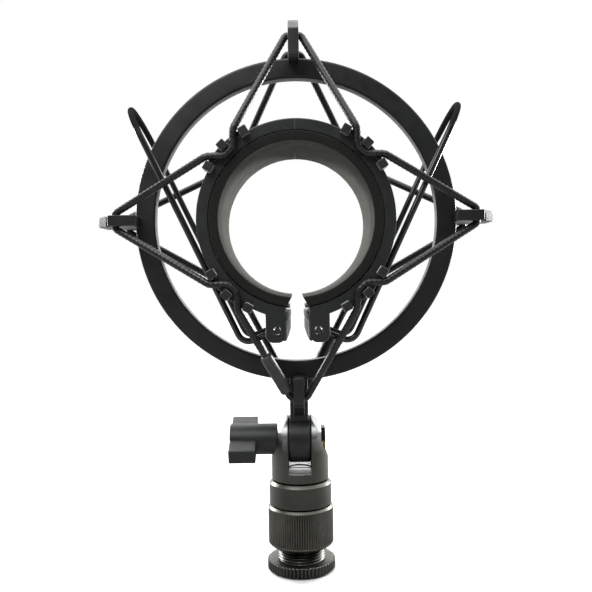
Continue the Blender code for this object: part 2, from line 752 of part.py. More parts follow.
def make_cord(name, y_side):
    return as_part(wire("cord", cord_path(y_side), CORD_R, closed=True, fineness=1), name, "cord", 80)


def make_joiner(name, start, end, offset, length):
    """A sleeve round a straight stretch of cord, offset from its start."""
    inner, outer = JOINER_R
    way = (end - start).normalized()
    half = length / 2
    joiner = turned("joiner", [(outer, half), (outer, -half), (inner, -half), (inner, half)], 16)
    joiner.rotation_mode = "QUATERNION"
    joiner.rotation_quaternion = way.to_track_quat("Z", "Y")
    joiner.location = start + way * (offset + half)
    return as_part(joiner, name, "joiner")


def make_handle(name, side):
    """One bent wire: front foot hole, heel, leg, closed end, and back the same way."""
    low, top = Vector(WIRE_LEG_LOW), Vector(WIRE_LEG_TOP)
    along = (top - low).normalized()
    half = [
        (FOOT_HOLE_X, -WIRE_TAIL_Y, FOOT_HOLE_Z),
        (FOOT_HOLE_X, -WIRE_Y, FOOT_HOLE_Z),
        (WIRE_HEEL[0], -WIRE_Y, WIRE_HEEL[1]),
        (top.x, -WIRE_Y, top.y),
    ]
    path = rounded(half, (WIRE_TAIL_BEND, WIRE_HEEL_BEND), 5)
    steps = 12
    for i in range(1, steps):
        turn = math.pi * i / steps
        reach = top + along * WIRE_Y * math.sin(turn)
        path.append(Vector((reach.x, -WIRE_Y * math.cos(turn), reach.y)))
    path += [Vector((p.x, -p.y, p.z)) for p in reversed(path[: len(path) - steps + 1])]
    path = [Vector((side * p.x, p.y, p.z)) for p in path]
    return as_part(wire("handle", path, WIRE_R), name, "black_wire", 80)


def make_cords():
    for name, y_side in (("front", -1), ("rear", 1)):
        make_cord(name + "_cord", y_side)
    start, end = nearest_strand(-1, (-7 * MM, 66 * MM))
    make_joiner("front_cord_joiner", end, start, JOINER_HOOK_CLEARANCE, JOINER_LENGTH)
    start, end = nearest_strand(1, (7 * MM, 66 * MM))
    make_joiner("rear_cord_joiner", end, start, SPLICE_FROM_HOOK, SPLICE_LENGTH)


def nearest_strand(y_side, spot):
    """The free strand passing nearest a point in X and Z, as (peg end, hook end)."""
    strands = longest_strands(cord_path(y_side))

    def distance(strand):
        middle = (strand[0] + strand[1]) / 2
        return math.hypot(middle.x - spot[0], middle.z - spot[1])

    return sorted(min(strands, key=distance), key=lambda p: -abs(p.y))


def main():
    make_thread_adapter()
    make_sleeve()
    make_collar()
    make_sleeve_clip()
    make_washer()
    make_swivel_screw()
    make_yoke()
    make_pivot_nut()
    make_clamp_screw()
    make_wing_knob()
    make_outer_ring()
    for side_name, side in (("left", -1), ("right", 1)):
        make_shell(side_name, side)
        make_foam(side_name, side)
        make_handle("wire_handle_" + side_name, side)
    make_clamp_spring()
    make_cords()


clear_scene()
PARTS = new_collection("shock_mount")
CUTTERS = new_collection("cutters")
main()
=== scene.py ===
"""Looks of an elastic suspension mount for a large microphone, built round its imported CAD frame."""

import json
from math import acos, asin, atan2, cos, degrees, pi, radians, sin, tan

import bmesh
import bpy
import numpy as np
from mathutils import Matrix, Vector, noise

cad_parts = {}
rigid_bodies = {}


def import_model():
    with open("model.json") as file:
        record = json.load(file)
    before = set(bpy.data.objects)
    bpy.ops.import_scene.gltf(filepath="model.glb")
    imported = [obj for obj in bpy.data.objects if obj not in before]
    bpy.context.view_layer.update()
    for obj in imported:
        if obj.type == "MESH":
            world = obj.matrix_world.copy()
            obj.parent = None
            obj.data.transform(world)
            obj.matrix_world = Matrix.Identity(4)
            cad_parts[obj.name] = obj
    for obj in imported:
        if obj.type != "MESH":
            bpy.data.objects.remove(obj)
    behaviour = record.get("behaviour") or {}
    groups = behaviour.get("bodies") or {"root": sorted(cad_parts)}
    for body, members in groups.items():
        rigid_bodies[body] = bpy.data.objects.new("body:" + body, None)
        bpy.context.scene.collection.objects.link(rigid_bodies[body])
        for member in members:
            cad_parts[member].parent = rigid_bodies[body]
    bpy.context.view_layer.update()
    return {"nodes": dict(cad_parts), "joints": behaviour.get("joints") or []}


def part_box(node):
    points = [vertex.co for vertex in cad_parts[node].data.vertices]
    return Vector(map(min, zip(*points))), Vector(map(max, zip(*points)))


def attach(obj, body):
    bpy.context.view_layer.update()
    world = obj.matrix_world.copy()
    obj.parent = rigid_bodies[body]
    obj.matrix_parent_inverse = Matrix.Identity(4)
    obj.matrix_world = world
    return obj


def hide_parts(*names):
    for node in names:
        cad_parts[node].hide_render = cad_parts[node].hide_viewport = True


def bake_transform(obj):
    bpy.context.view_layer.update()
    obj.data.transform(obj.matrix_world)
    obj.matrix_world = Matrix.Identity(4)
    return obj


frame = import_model()
JOINTS = {joint["name"]: joint for joint in frame["joints"]}
MM = 0.001


def low(node):
    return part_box(node)[0]


def high(node):
    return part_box(node)[1]


# -------- sizes, read from the frame

PIVOT_Z = JOINTS["head_tilt"]["pos_m"][2]
CROWN = Vector(JOINTS["jaw_open"]["pos_m"])
FOAM_R_OUT = -low("foam_liner_left").x
FOAM_HALF_Y = high("foam_liner_left").y
CRADLE_Z = high("foam_liner_left").z - FOAM_R_OUT
SHELL_R_OUT = CROWN.z - CRADLE_Z
SHELL_R_IN = FOAM_R_OUT + 0.3 * MM
HOOK_TIP = high("outer_ring").x
RING_Z = high("outer_ring").z - HOOK_TIP
PEG_END_Y = high("cradle_shell_left").y
SHELL_HALF_Y = PEG_END_Y - 3.2 * MM
FOOT_BOTTOM_Z = low("cradle_shell_left").z
SLEEVE_LOW, SLEEVE_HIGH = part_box("knurled_sleeve")
COLLAR_LOW, COLLAR_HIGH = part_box("swivel_collar")
YOKE_LOW, YOKE_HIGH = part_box("yoke")
KNOB_LOW, KNOB_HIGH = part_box("wing_knob")
NUT_LOW, NUT_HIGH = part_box("pivot_nut")
SCREW_END_X = high("clamp_screw").x
STUD_TOP_Z = high("thread_adapter").z
SLEEVE_R = SLEEVE_HIGH.x
COLLAR_R = COLLAR_HIGH.x
YOKE_R = YOKE_HIGH.x
FLANGE_R = high("thread_adapter").x

# Sizes that no box of the frame shows
RING_R_OUT = 52.5 * MM
RING_R_IN = 46.1 * MM
RING_DEPTH = 5.4 * MM
HOOK_THICK = 3.4 * MM
HOOK_BASE = 50.6 * MM
HOOK_NOTCH = 56.1 * MM
HOOK_LIP = 59.2 * MM
HOOK_SHOULDER = 60.5 * MM
HOOK_TOP_Y = 5.0 * MM
HOOK_STEM_Y = 8.7 * MM
HOOK_LIP_Y = 11.3 * MM
HOOK_END_Y = 13.0 * MM
MARK_ANGLE = 12
MARK_R = 1.65 * MM
MARK_DEPTH = 0.08 * MM
STEM_WIDTH = 6.0 * MM
STEM_DEPTH = 8.0 * MM
EYE_R = 7.8 * MM
EYE_WIDTH = 7.0 * MM
EYE_BLOCK_DEPTH = 12.6 * MM
EYE_BLOCK_TOP = PIVOT_Z + 4.5 * MM
FOAM_R_IN = 23.8 * MM
FOAM_END_X = (1.7 * MM, 3.2 * MM)
SPRING_R = (27.15 * MM, 27.55 * MM)
SPRING_END_X = 2.4 * MM
GROOVE_R = 27.85 * MM
GROOVE_HALF_Y = 14.9 * MM
FOOT_X = (3.7 * MM, 9.9 * MM)
FOOT_ROUND = 2.4 * MM
FOOT_THICK = 3.8 * MM
FOOT_HOLE = (6.3 * MM, 80.2 * MM)
FOOT_HOLE_R = 1.38 * MM
WEB_X = (2.2 * MM, 4.7 * MM)
WEB_FRONT_X = 3.5 * MM
WEB_BOTTOM_Z = 76.9 * MM
STATIONS = {"right": (45.5, -46.5), "left": (134.5, 226.5)}
PEG = 2.7 * MM
PEG_START_Y = 15.2 * MM
SIDE_PEG_ANGLE = radians(14.2)
SIDE_PEG_R = 30.8 * MM
MID_PEG_R = 31.4 * MM
PAD_R = 32.1 * MM
PAD_DEPTH = 4.4 * MM
PAD_HALF_ANGLE = radians(16.6)
CORD_R = 1.13 * MM
CORD_BEND = 1.25 * MM
CORD_HOOK_Y = 10.0 * MM
CORD_STATION_Y = 20.4 * MM
JOINER_R = 1.95 * MM
WIRE_R = 1.0 * MM
WIRE_Y = 12.3 * MM
WIRE_TAIL_Y = 19.4 * MM
WIRE_LEG = ((18.7 * MM, 78.4 * MM), (47.9 * MM, 140.8 * MM))
WIRE_HEEL = (17.3 * MM, 75.6 * MM)
THREAD_PITCH = 0.94 * MM
THREAD_R = 7.85 * MM
YOKE_DOME_R = 10.64 * MM
YOKE_DOME_Z = 40.79 * MM
SLOT_HALF = 3.6 * MM
SLOT_FLOOR = 33.3 * MM
FLANGE_TOP = 3.1 * MM
FLANGE_TEETH = 56
SLEEVE_RIBS = 84
SOCKET_R = 4.4 * MM
SWIVEL_BORE_R = 2.3 * MM
HEAD_POCKET_R = 3.8 * MM
HEAD_POCKET_Z = (31.0 * MM, 34.3 * MM)
PIVOT_BORE_R = 2.8 * MM
SCREW_R = 2.5 * MM
NUT_HALF = 4.0 * MM
NUT_POCKET_HALF = 4.3 * MM
NUT_POCKET_X = 4.8 * MM
EAR_FLAT_X = 7.0 * MM
EAR_SPOT_R = 5.7 * MM
HUB_R = 5.1 * MM
WING_HALF = (11.5 * MM, 2.3 * MM)
WING_MIDDLE = 4.45 * MM
WING_WIDTH = 8.7 * MM
WING_TURN = radians(18)
SPRING_HALF_Y = 14.6 * MM
JOINER_LENGTH = 14 * MM
# Reach of the top of the web between the feet, kept dark as painted shade
WEB_PAINTED_SHADE_X = 5.2 * MM
WEB_PAINTED_SHADE_Z = (83.0 * MM, 91.0 * MM)

# Studio: strengths of the light tent, lamps as (name, place, size, watts), and the camera
FRONT_LIGHT = 0.07
BACK_LIGHT = 1.6
TOP_LIGHT = 2.4
FLOOR_SIZE = 1.5
LAMPS = (
    ("key", (-0.12, -0.2, 0.33), 0.2, 0.45),
    ("left_rim", (-0.34, 0.26, 0.2), 0.12, 2.2),
    ("right_rim", (0.34, 0.26, 0.14), 0.12, 2.4),
)
LAMP_AIM_Z = 0.09
CAMERA_AT = (-0.42 * MM, -245 * MM, 97.6 * MM)
CAMERA_AIM = (-0.42 * MM, 0, 90.3 * MM)
CAMERA_ROLL = radians(-0.94)


# -------- mesh tools

def new_object(name, data):
    obj = bpy.data.objects.new(name, data)
    bpy.context.scene.collection.objects.link(obj)
    return obj


def object_from(name, bm, matrix=None):
    """Turns a finished bmesh into an object, moved by the matrix."""
    mesh = bpy.data.meshes.new(name)
    bm.to_mesh(mesh)
    bm.free()
    if matrix:
        mesh.transform(matrix)
    return new_object(name, mesh)


def level_edges(bm):
    """Edges whose two ends have the same height."""
    return [e for e in bm.edges if abs(e.verts[0].co.z - e.verts[1].co.z) < 1e-7]


def close_up(obj, smooth_angle=40):
    """Faces out, smooth shading, sharp edges over the angle."""
    bm = bmesh.new()
    bm.from_mesh(obj.data)
    bmesh.ops.recalc_face_normals(bm, faces=bm.faces)
    bm.to_mesh(obj.data)
    bm.free()
    obj.data.shade_smooth()
    obj.data.set_sharp_from_angle(angle=radians(smooth_angle))


def grid(name, rows, endless, smooth_angle=40):
    """A skin over closed rows of points, capped at both ends, or joined end to end when endless."""
    count = len(rows[0])
    faces = []
    for i in range(len(rows) if endless else len(rows) - 1):
        here = i * count
        there = (i + 1) % len(rows) * count
        for k in range(count):
            after = (k + 1) % count
            faces.append((here + k, here + after, there + after, there + k))
    if not endless:
        faces.append(tuple(range(count)))
        faces.append(tuple(range((len(rows) - 1) * count, len(rows) * count)))
    mesh = bpy.data.meshes.new(name)
    mesh.from_pydata([tuple(p) for row in rows for p in row], [], faces)
    mesh.validate()
    obj = new_object(name, mesh)
    close_up(obj, smooth_angle)
    return obj


def arc(centre, radius, start, end, steps):
    angles = [radians(start + (end - start) * i / steps) for i in range(steps + 1)]
    return [(centre[0] + radius * cos(a), centre[1] + radius * sin(a)) for a in angles]


def band_section(outer, inner, half):
    """Four corners of a flat band, as (radius, height)."""
    return [(outer, half), (outer, -half), (inner, -half), (inner, half)]


def mirrored(outline, side):
    return [(side * x, y) for x, y in outline]


def polar(radius, angle):
    return Vector((radius * cos(angle), radius * sin(angle)))


def softened(outline, radius, steps=3):
    """A closed 2D outline with every corner rounded; radius may be one value or one per corner."""
    made = []
    count = len(outline)
    radii = radius if isinstance(radius, list) else [radius] * count
    for i, bend in enumerate(radii):
        corner = Vector(outline[i])
        before = Vector(outline[i - 1]) - corner
        after = Vector(outline[(i + 1) % count]) - corner
        turn = before.angle(after, pi)
        if bend <= 0 or turn > radians(175):
            made.append(corner)
            continue
        reach = min(bend / tan(turn / 2), 0.45 * before.length, 0.45 * after.length)
        first = corner + before.normalized() * reach
        last = corner + after.normalized() * reach
        for k in range(steps + 1):
            t = k / steps
            made.append(first.lerp(corner, t).lerp(corner.lerp(last, t), t))
    return made


def lathe(name, profile, steps=120, matrix=None, reshape=None):
    """A closed (radius, height) profile turned about Z; reshape may change the radius."""
    rows = []
    for i in range(steps):
        angle = 2 * pi * i / steps
        row = []
        for radius, height in profile:
            r = reshape(radius, angle, height) if reshape else radius
            row.append(Vector((*polar(r, angle), height)))
        rows.append(row)
    obj = grid(name, rows, True)
    if matrix:
        obj.data.transform(matrix)
    return obj


def prism(name, outline, thickness, matrix, bevel=0.3 * MM, segments=2):
    """A flat plate of an outline, with its rims bevelled."""
    bm = bmesh.new()
    half = thickness / 2
    bottom = [bm.verts.new((p[0], p[1], -half)) for p in outline]
    top = [bm.verts.new((p[0], p[1], half)) for p in outline]
    bm.faces.new(bottom)
    bm.faces.new(top)
    count = len(outline)
    for i in range(count):
        j = (i + 1) % count
        bm.faces.new((bottom[i], bottom[j], top[j], top[i]))
    bmesh.ops.recalc_face_normals(bm, faces=bm.faces)
    if bevel:
        bmesh.ops.bevel(bm, geom=level_edges(bm), offset=bevel, segments=segments, profile=0.5,
                        affect="EDGES", clamp_overlap=True)
    return object_from(name, bm, matrix)


def block(name, low_corner, high_corner, bevel=0.25 * MM, segments=2):
    """A box between two corners, with all its edges bevelled."""
    bm = bmesh.new()
    bmesh.ops.create_cube(bm, size=1)
    size = Vector(high_corner) - Vector(low_corner)
    bmesh.ops.scale(bm, vec=size, verts=bm.verts)
    bmesh.ops.translate(bm, vec=(Vector(high_corner) + Vector(low_corner)) / 2, verts=bm.verts)
    if bevel:
        rims = bm.edges[:]
        bmesh.ops.bevel(bm, geom=rims, offset=bevel, segments=segments, profile=0.5, affect="EDGES")
    return object_from(name, bm)


def rod(name, radius, start, end, segments=64, bevel=0.0):
    """A round bar between two points, with its end rims bevelled."""
    start, end = Vector(start), Vector(end)
    sizes = {"radius1": radius, "radius2": radius, "depth": (end - start).length}
    bm = bmesh.new()
    bmesh.ops.create_cone(bm, cap_ends=True, segments=segments, **sizes)
    if bevel:
        rims = level_edges(bm)
        bmesh.ops.bevel(bm, geom=rims, offset=bevel, segments=2, profile=0.5, affect="EDGES")
    turn = (end - start).to_track_quat("Z", "Y").to_matrix().to_4x4()
    return object_from(name, bm, Matrix.Translation((start + end) / 2) @ turn)


def group_of(name, objects):
    collection = bpy.data.collections.new(name)
    for obj in objects:
        bpy.context.scene.collection.objects.unlink(obj)
        collection.objects.link(obj)
    bpy.context.scene.collection.children.link(collection)
    return collection


def fuse(name, base, added=(), cut=()):
    """One body from a base shape, shapes joined to it and shapes cut from it."""
    groups = []
    for operation, shapes in (("UNION", added), ("DIFFERENCE", cut)):
        if not shapes:
            continue
        groups.append(group_of(name + operation, shapes))
        step = base.modifiers.new(operation.lower(), "BOOLEAN")
        step.operation = operation
        step.operand_type = "COLLECTION"
        step.collection = groups[-1]
    bpy.context.view_layer.update()
    graph = bpy.context.evaluated_depsgraph_get()
    mesh = bpy.data.meshes.new_from_object(base.evaluated_get(graph))
    bpy.data.objects.remove(base)
    for group in groups:
        for shape in list(group.objects):
            bpy.data.objects.remove(shape)
        bpy.data.collections.remove(group)
    bm = bmesh.new()
    bm.from_mesh(mesh)
    bmesh.ops.remove_doubles(bm, verts=bm.verts, dist=0.002 * MM)
    bmesh.ops.dissolve_degenerate(bm, edges=bm.edges, dist=0.002 * MM)
    bm.to_mesh(mesh)
    bm.free()
    obj = new_object(name, mesh)
    mesh.shade_smooth()
    mesh.set_sharp_from_angle(angle=radians(38))
    weighted = obj.modifiers.new("even shading", "WEIGHTED_NORMAL")
    weighted.keep_sharp = True
    return obj


def pivot_rod(name, radius, start, end, segments=64, bevel=0.0):
    """A bar along the pivot axis."""
    return rod(name, radius, (start, 0, PIVOT_Z), (end, 0, PIVOT_Z), segments, bevel)


def facing_front(y=0, z=0):
    """Plane of X and Z, seen from the front."""
    return Matrix.Translation((0, y, z)) @ Matrix.Rotation(pi / 2, 4, "X")


def along_axis_at(angle, z):
    """Local X points away from the microphone axis at the angle, local Y stays along Y."""
    return Matrix.Translation((0, 0, z)) @ Matrix.Rotation(-angle, 4, "Y")


def seen_along_x(x=0, z=0):
    """Plane of Y and Z."""
    spot = Matrix.Translation((x, 0, z))
    return spot @ Matrix.Rotation(pi / 2, 4, "Z") @ Matrix.Rotation(pi / 2, 4, "X")


# -------- materials

def node_of(tree, kind, **values):
    made = tree.nodes.new(kind)
    for key, value in values.items():
        if key in made.inputs:
            made.inputs[key].default_value = value
        else:
            setattr(made, key, value)
    return made


def new_material(name):
    made = bpy.data.materials.new(name)
    made.use_nodes = True
    return made, made.node_tree, made.node_tree.nodes["Principled BSDF"]


def feed(tree, value, place):
    """Links an output to an input, or sets the input to a plain value."""
    if isinstance(value, bpy.types.NodeSocket):
        tree.links.new(value, place)
    else:
        place.default_value = value


def noise_node(tree, coordinates, scale, detail=4.0, roughness=0.6):
    made = node_of(tree, "ShaderNodeTexNoise", Scale=scale, Detail=detail, Roughness=roughness)
    feed(tree, coordinates, made.inputs["Vector"])
    return made.outputs["Fac"]


def map_range(tree, value, start, end, low_result=0.0, high_result=1.0, smooth=False):
    """The value, carried from the range of start to end over to the range of the results."""
    kind = "SMOOTHSTEP" if smooth else "LINEAR"
    made = node_of(tree, "ShaderNodeMapRange", interpolation_type=kind)
    limits = {"From Min": start, "From Max": end, "To Min": low_result, "To Max": high_result}
    for key, limit in limits.items():
        made.inputs[key].default_value = limit
    feed(tree, value, made.inputs["Value"])
    return made.outputs["Result"]


def spread(tree, value, start, end):
    """A noise value, mostly between 0.3 and 0.7, stretched between two limits."""
    return map_range(tree, value, 0.3, 0.7, start, end)


def ramp(tree, value, start, end):
    """Smooth rise from 0 at start to 1 at end."""
    return map_range(tree, value, start, end, smooth=True)


def maths(tree, operation, *values):
    made = node_of(tree, "ShaderNodeMath", operation=operation)
    for value, place in zip(values, made.inputs):
        feed(tree, value, place)
    return made.outputs["Value"]


def product(tree, *values):
    total = values[0]
    for value in values[1:]:
        total = maths(tree, "MULTIPLY", total, value)
    return total


def axis_of(tree, vector, axis):
    split = node_of(tree, "ShaderNodeSeparateXYZ")
    feed(tree, vector, split.inputs[0])
    return split.outputs[axis]


def aside_and_height(tree, where):
    """Distance from the middle plane, and Z."""
    return maths(tree, "ABSOLUTE", axis_of(tree, where, "X")), axis_of(tree, where, "Z")


def radius_of(tree, a, b):
    """Distance from the axis that two coordinates are measured from."""
    return maths(tree, "SQRT", maths(tree, "ADD", product(tree, a, a), product(tree, b, b)))


def ragged(tree, where, value, scale, reach, *detail):
    """The value, made uneven by noise over the given reach."""
    return maths(tree, "MULTIPLY_ADD", noise_node(tree, where, scale, *detail), reach, value)


def mix(tree, share, a, b):
    made = node_of(tree, "ShaderNodeMix", data_type="RGBA")
    feed(tree, share, made.inputs["Factor"])
    for value, place in ((a, made.inputs["A"]), (b, made.inputs["B"])):
        feed(tree, (*value, 1) if isinstance(value, tuple) else value, place)
    return made.outputs["Result"]


def edge_mask(tree, width):
    """Near 1 on convex and concave edges, 0 on open faces."""
    bevel = node_of(tree, "ShaderNodeBevel", samples=6, Radius=width)
    geometry = node_of(tree, "ShaderNodeNewGeometry")
    dot = node_of(tree, "ShaderNodeVectorMath", operation="DOT_PRODUCT")
    feed(tree, bevel.outputs["Normal"], dot.inputs[0])
    feed(tree, geometry.outputs["Normal"], dot.inputs[1])
    return map_range(tree, dot.outputs["Value"], 0.985, 0.86)


def surface(name, dark, light, roughness, metallic=0.0, grain=(900, 0.25), patch=60,
            edge_wear_and_highlight=None, edge_wear_and_highlight_width=0.25 * MM, specular=0.5, coat=0.0, painted_sheen=0.0,
            bare_and_painted_light=None, ends=None, shaded=None, painted_sheen_on=None):
    """A finish.

    dark and light are the colours of its patches, roughness the two limits of its gloss, grain the
    scale and strength of its bumps. edge_wear_and_highlight is the colour of the edges, partly
    worn by rubbing and partly a painted highlight; bare_and_painted_light a mask and the colour
    there, for uncoated metal and for painted highlights and painted shade; ends the colour of
    faces square to Y; shaded a mask and the colour of painted shade there, which also takes the
    gloss away; and painted_sheen the tone of a painted sheen seen at a low angle, where
    painted_sheen_on lets it.
    """
    made, tree, shader = new_material(name)
    gloss = {"Metallic": metallic, "Specular IOR Level": specular, "Coat Weight": coat}
    for key, value in gloss.items():
        shader.inputs[key].default_value = value
    where = node_of(tree, "ShaderNodeTexCoord").outputs["Object"]
    patches = noise_node(tree, where, patch)
    colour = mix(tree, spread(tree, patches, 0, 1), dark, light)
    fine = noise_node(tree, where, grain[0], 6.0, 0.7)
    medium = noise_node(tree, where, grain[0] / 7)
    if ends:
        normal = node_of(tree, "ShaderNodeTexCoord").outputs["Normal"]
        facing = maths(tree, "ABSOLUTE", axis_of(tree, normal, "Y"))
        colour = mix(tree, ramp(tree, facing, 0.6, 0.8), colour, ends)
    # A masked colour: uncoated metal in some places, and painted highlight and painted shade in
    # others.
    if bare_and_painted_light:
        colour = mix(tree, bare_and_painted_light[0](tree, where), colour, bare_and_painted_light[1])
    # Edges get a lighter colour, partly worn by rubbing and partly a painted highlight.
    if edge_wear_and_highlight:
        edge_wear_and_highlight_mask = product(tree, edge_mask(tree, edge_wear_and_highlight_width), spread(tree, medium, 0.25, 1.0))
        colour = mix(tree, edge_wear_and_highlight_mask, colour, edge_wear_and_highlight)
    # Painted shade: a darker colour, with the gloss taken away, where the mask says.
    if shaded:
        share = shaded[0](tree, where)
        colour = mix(tree, share, colour, shaded[1])
        lit = maths(tree, "SUBTRACT", 1.0, share)
        for key, value in gloss.items():
            feed(tree, product(tree, lit, value), shader.inputs[key])
    # Painted sheen: a lighter tone painted into the colour where a face is seen at a low angle.
    if painted_sheen:
        grazing = node_of(tree, "ShaderNodeLayerWeight", Blend=0.5).outputs["Facing"]
        share = map_range(tree, grazing, 0.74, 0.9)
        if painted_sheen_on:
            share = product(tree, share, painted_sheen_on(tree, where))
        colour = mix(tree, share, colour, (painted_sheen, painted_sheen, painted_sheen))
    feed(tree, colour, shader.inputs["Base Color"])
    feed(tree, spread(tree, medium, *roughness), shader.inputs["Roughness"])
    bump = node_of(tree, "ShaderNodeBump", Strength=grain[1], Distance=0.05 * MM)
    feed(tree, fine, bump.inputs["Height"])
    feed(tree, bump.outputs["Normal"], shader.inputs["Normal"])
    return made


def ring_painted_sheen_places(tree, where):
    """Where the ring shows a painted sheen: its inner wall and the ends of the hooks."""
    aside, height = aside_and_height(tree, where)
    radius = radius_of(tree, aside, maths(tree, "SUBTRACT", height, RING_Z))
    inside = ramp(tree, radius, RING_R_IN + 2.5 * MM, RING_R_IN + 2 * MM)
    tips = ramp(tree, aside, HOOK_TIP - 0.7 * MM, HOOK_TIP - 0.4 * MM)
    return maths(tree, "MAXIMUM", inside, tips)


def ring_painted_shade_places(tree, where):
    """The top face of the upper hook, darkened and stripped of gloss as painted shade."""
    top = RING_Z + HOOK_TIP
    return ramp(tree, axis_of(tree, where, "Z"), top - 0.25 * MM, top - 0.1 * MM)


def wire_painted_shade_tops(tree, where):
    """The bends over the top of the wire handles, darkened and stripped of gloss as painted shade."""
    top = WIRE_LEG[1][1]
    return ramp(tree, axis_of(tree, where, "Z"), top - 4 * MM, top + 4 * MM)


def shell_painted_sheen_places(tree, where):
    """Where the shell shows a painted sheen: all of the cradle but the top of the web between the
    feet, next to the foam, which is left dark as painted shade.
    """
    aside, height = aside_and_height(tree, where)
    low_z, high_z = WEB_PAINTED_SHADE_Z
    top = product(
        tree,
        ramp(tree, height, low_z, low_z + 0.3 * MM),
        ramp(tree, height, high_z, high_z - MM),
        ramp(tree, aside, WEB_PAINTED_SHADE_X, WEB_PAINTED_SHADE_X - 0.3 * MM),
    )
    return maths(tree, "SUBTRACT", 1.0, top)


def yoke_painted_shade_walls(tree, where):
    """The walls of the slot, darkened and stripped of gloss as painted shade."""
    aside, height = aside_and_height(tree, where)
    wall = ramp(tree, aside, SLOT_HALF + 0.25 * MM, SLOT_HALF + 0.1 * MM)
    return product(tree, wall, ramp(tree, height, SLOT_FLOOR + 0.9 * MM, SLOT_FLOOR + 1.4 * MM))


def yoke_painted_highlight_and_bare_floor(tree, where):
    """Upper parts of the ears, outside the slot, lightened as a painted highlight, and the ragged
    floor of the slot, scraped to the metal.
    """
    aside, height = aside_and_height(tree, where)
    uneven = ragged(tree, where, height, 350, 4 * MM, 6.0, 0.7)
    ears = ramp(tree, uneven, PIVOT_Z - 2 * MM, PIVOT_Z + 7 * MM)
    ears = product(tree, ears, ramp(tree, aside, SLOT_HALF + 0.2 * MM, SLOT_HALF + 0.6 * MM))
    in_slot = ramp(tree, aside, SLOT_HALF + 0.05 * MM, SLOT_HALF - 0.1 * MM)
    over = ramp(tree, height, SLOT_FLOOR - 0.7 * MM, SLOT_FLOOR - 0.1 * MM)
    under = ramp(tree, height, SLOT_FLOOR + 0.9 * MM, SLOT_FLOOR + 0.6 * MM)
    scraped = ramp(tree, noise_node(tree, where, 900, 5.0, 0.7), 0.44, 0.5)
    return maths(tree, "MAXIMUM", ears, product(tree, in_slot, over, under, scraped))


def thread_crest_painted_highlights(tree, where):
    """The outermost 0.15 mm of the ridge, lightened as a painted highlight."""
    radius = radius_of(tree, axis_of(tree, where, "X"), axis_of(tree, where, "Y"))
    return ramp(tree, radius, THREAD_R - 0.22 * MM, THREAD_R - 0.08 * MM)


def nut_painted_dark_top(tree, where):
    """The upper half of the nut, painted near black as a painted dark reflection."""
    uneven = ragged(tree, where, axis_of(tree, where, "Z"), 800, 1.5 * MM, 5.0)
    return ramp(tree, uneven, PIVOT_Z + 0.2 * MM, PIVOT_Z + 0.7 * MM)


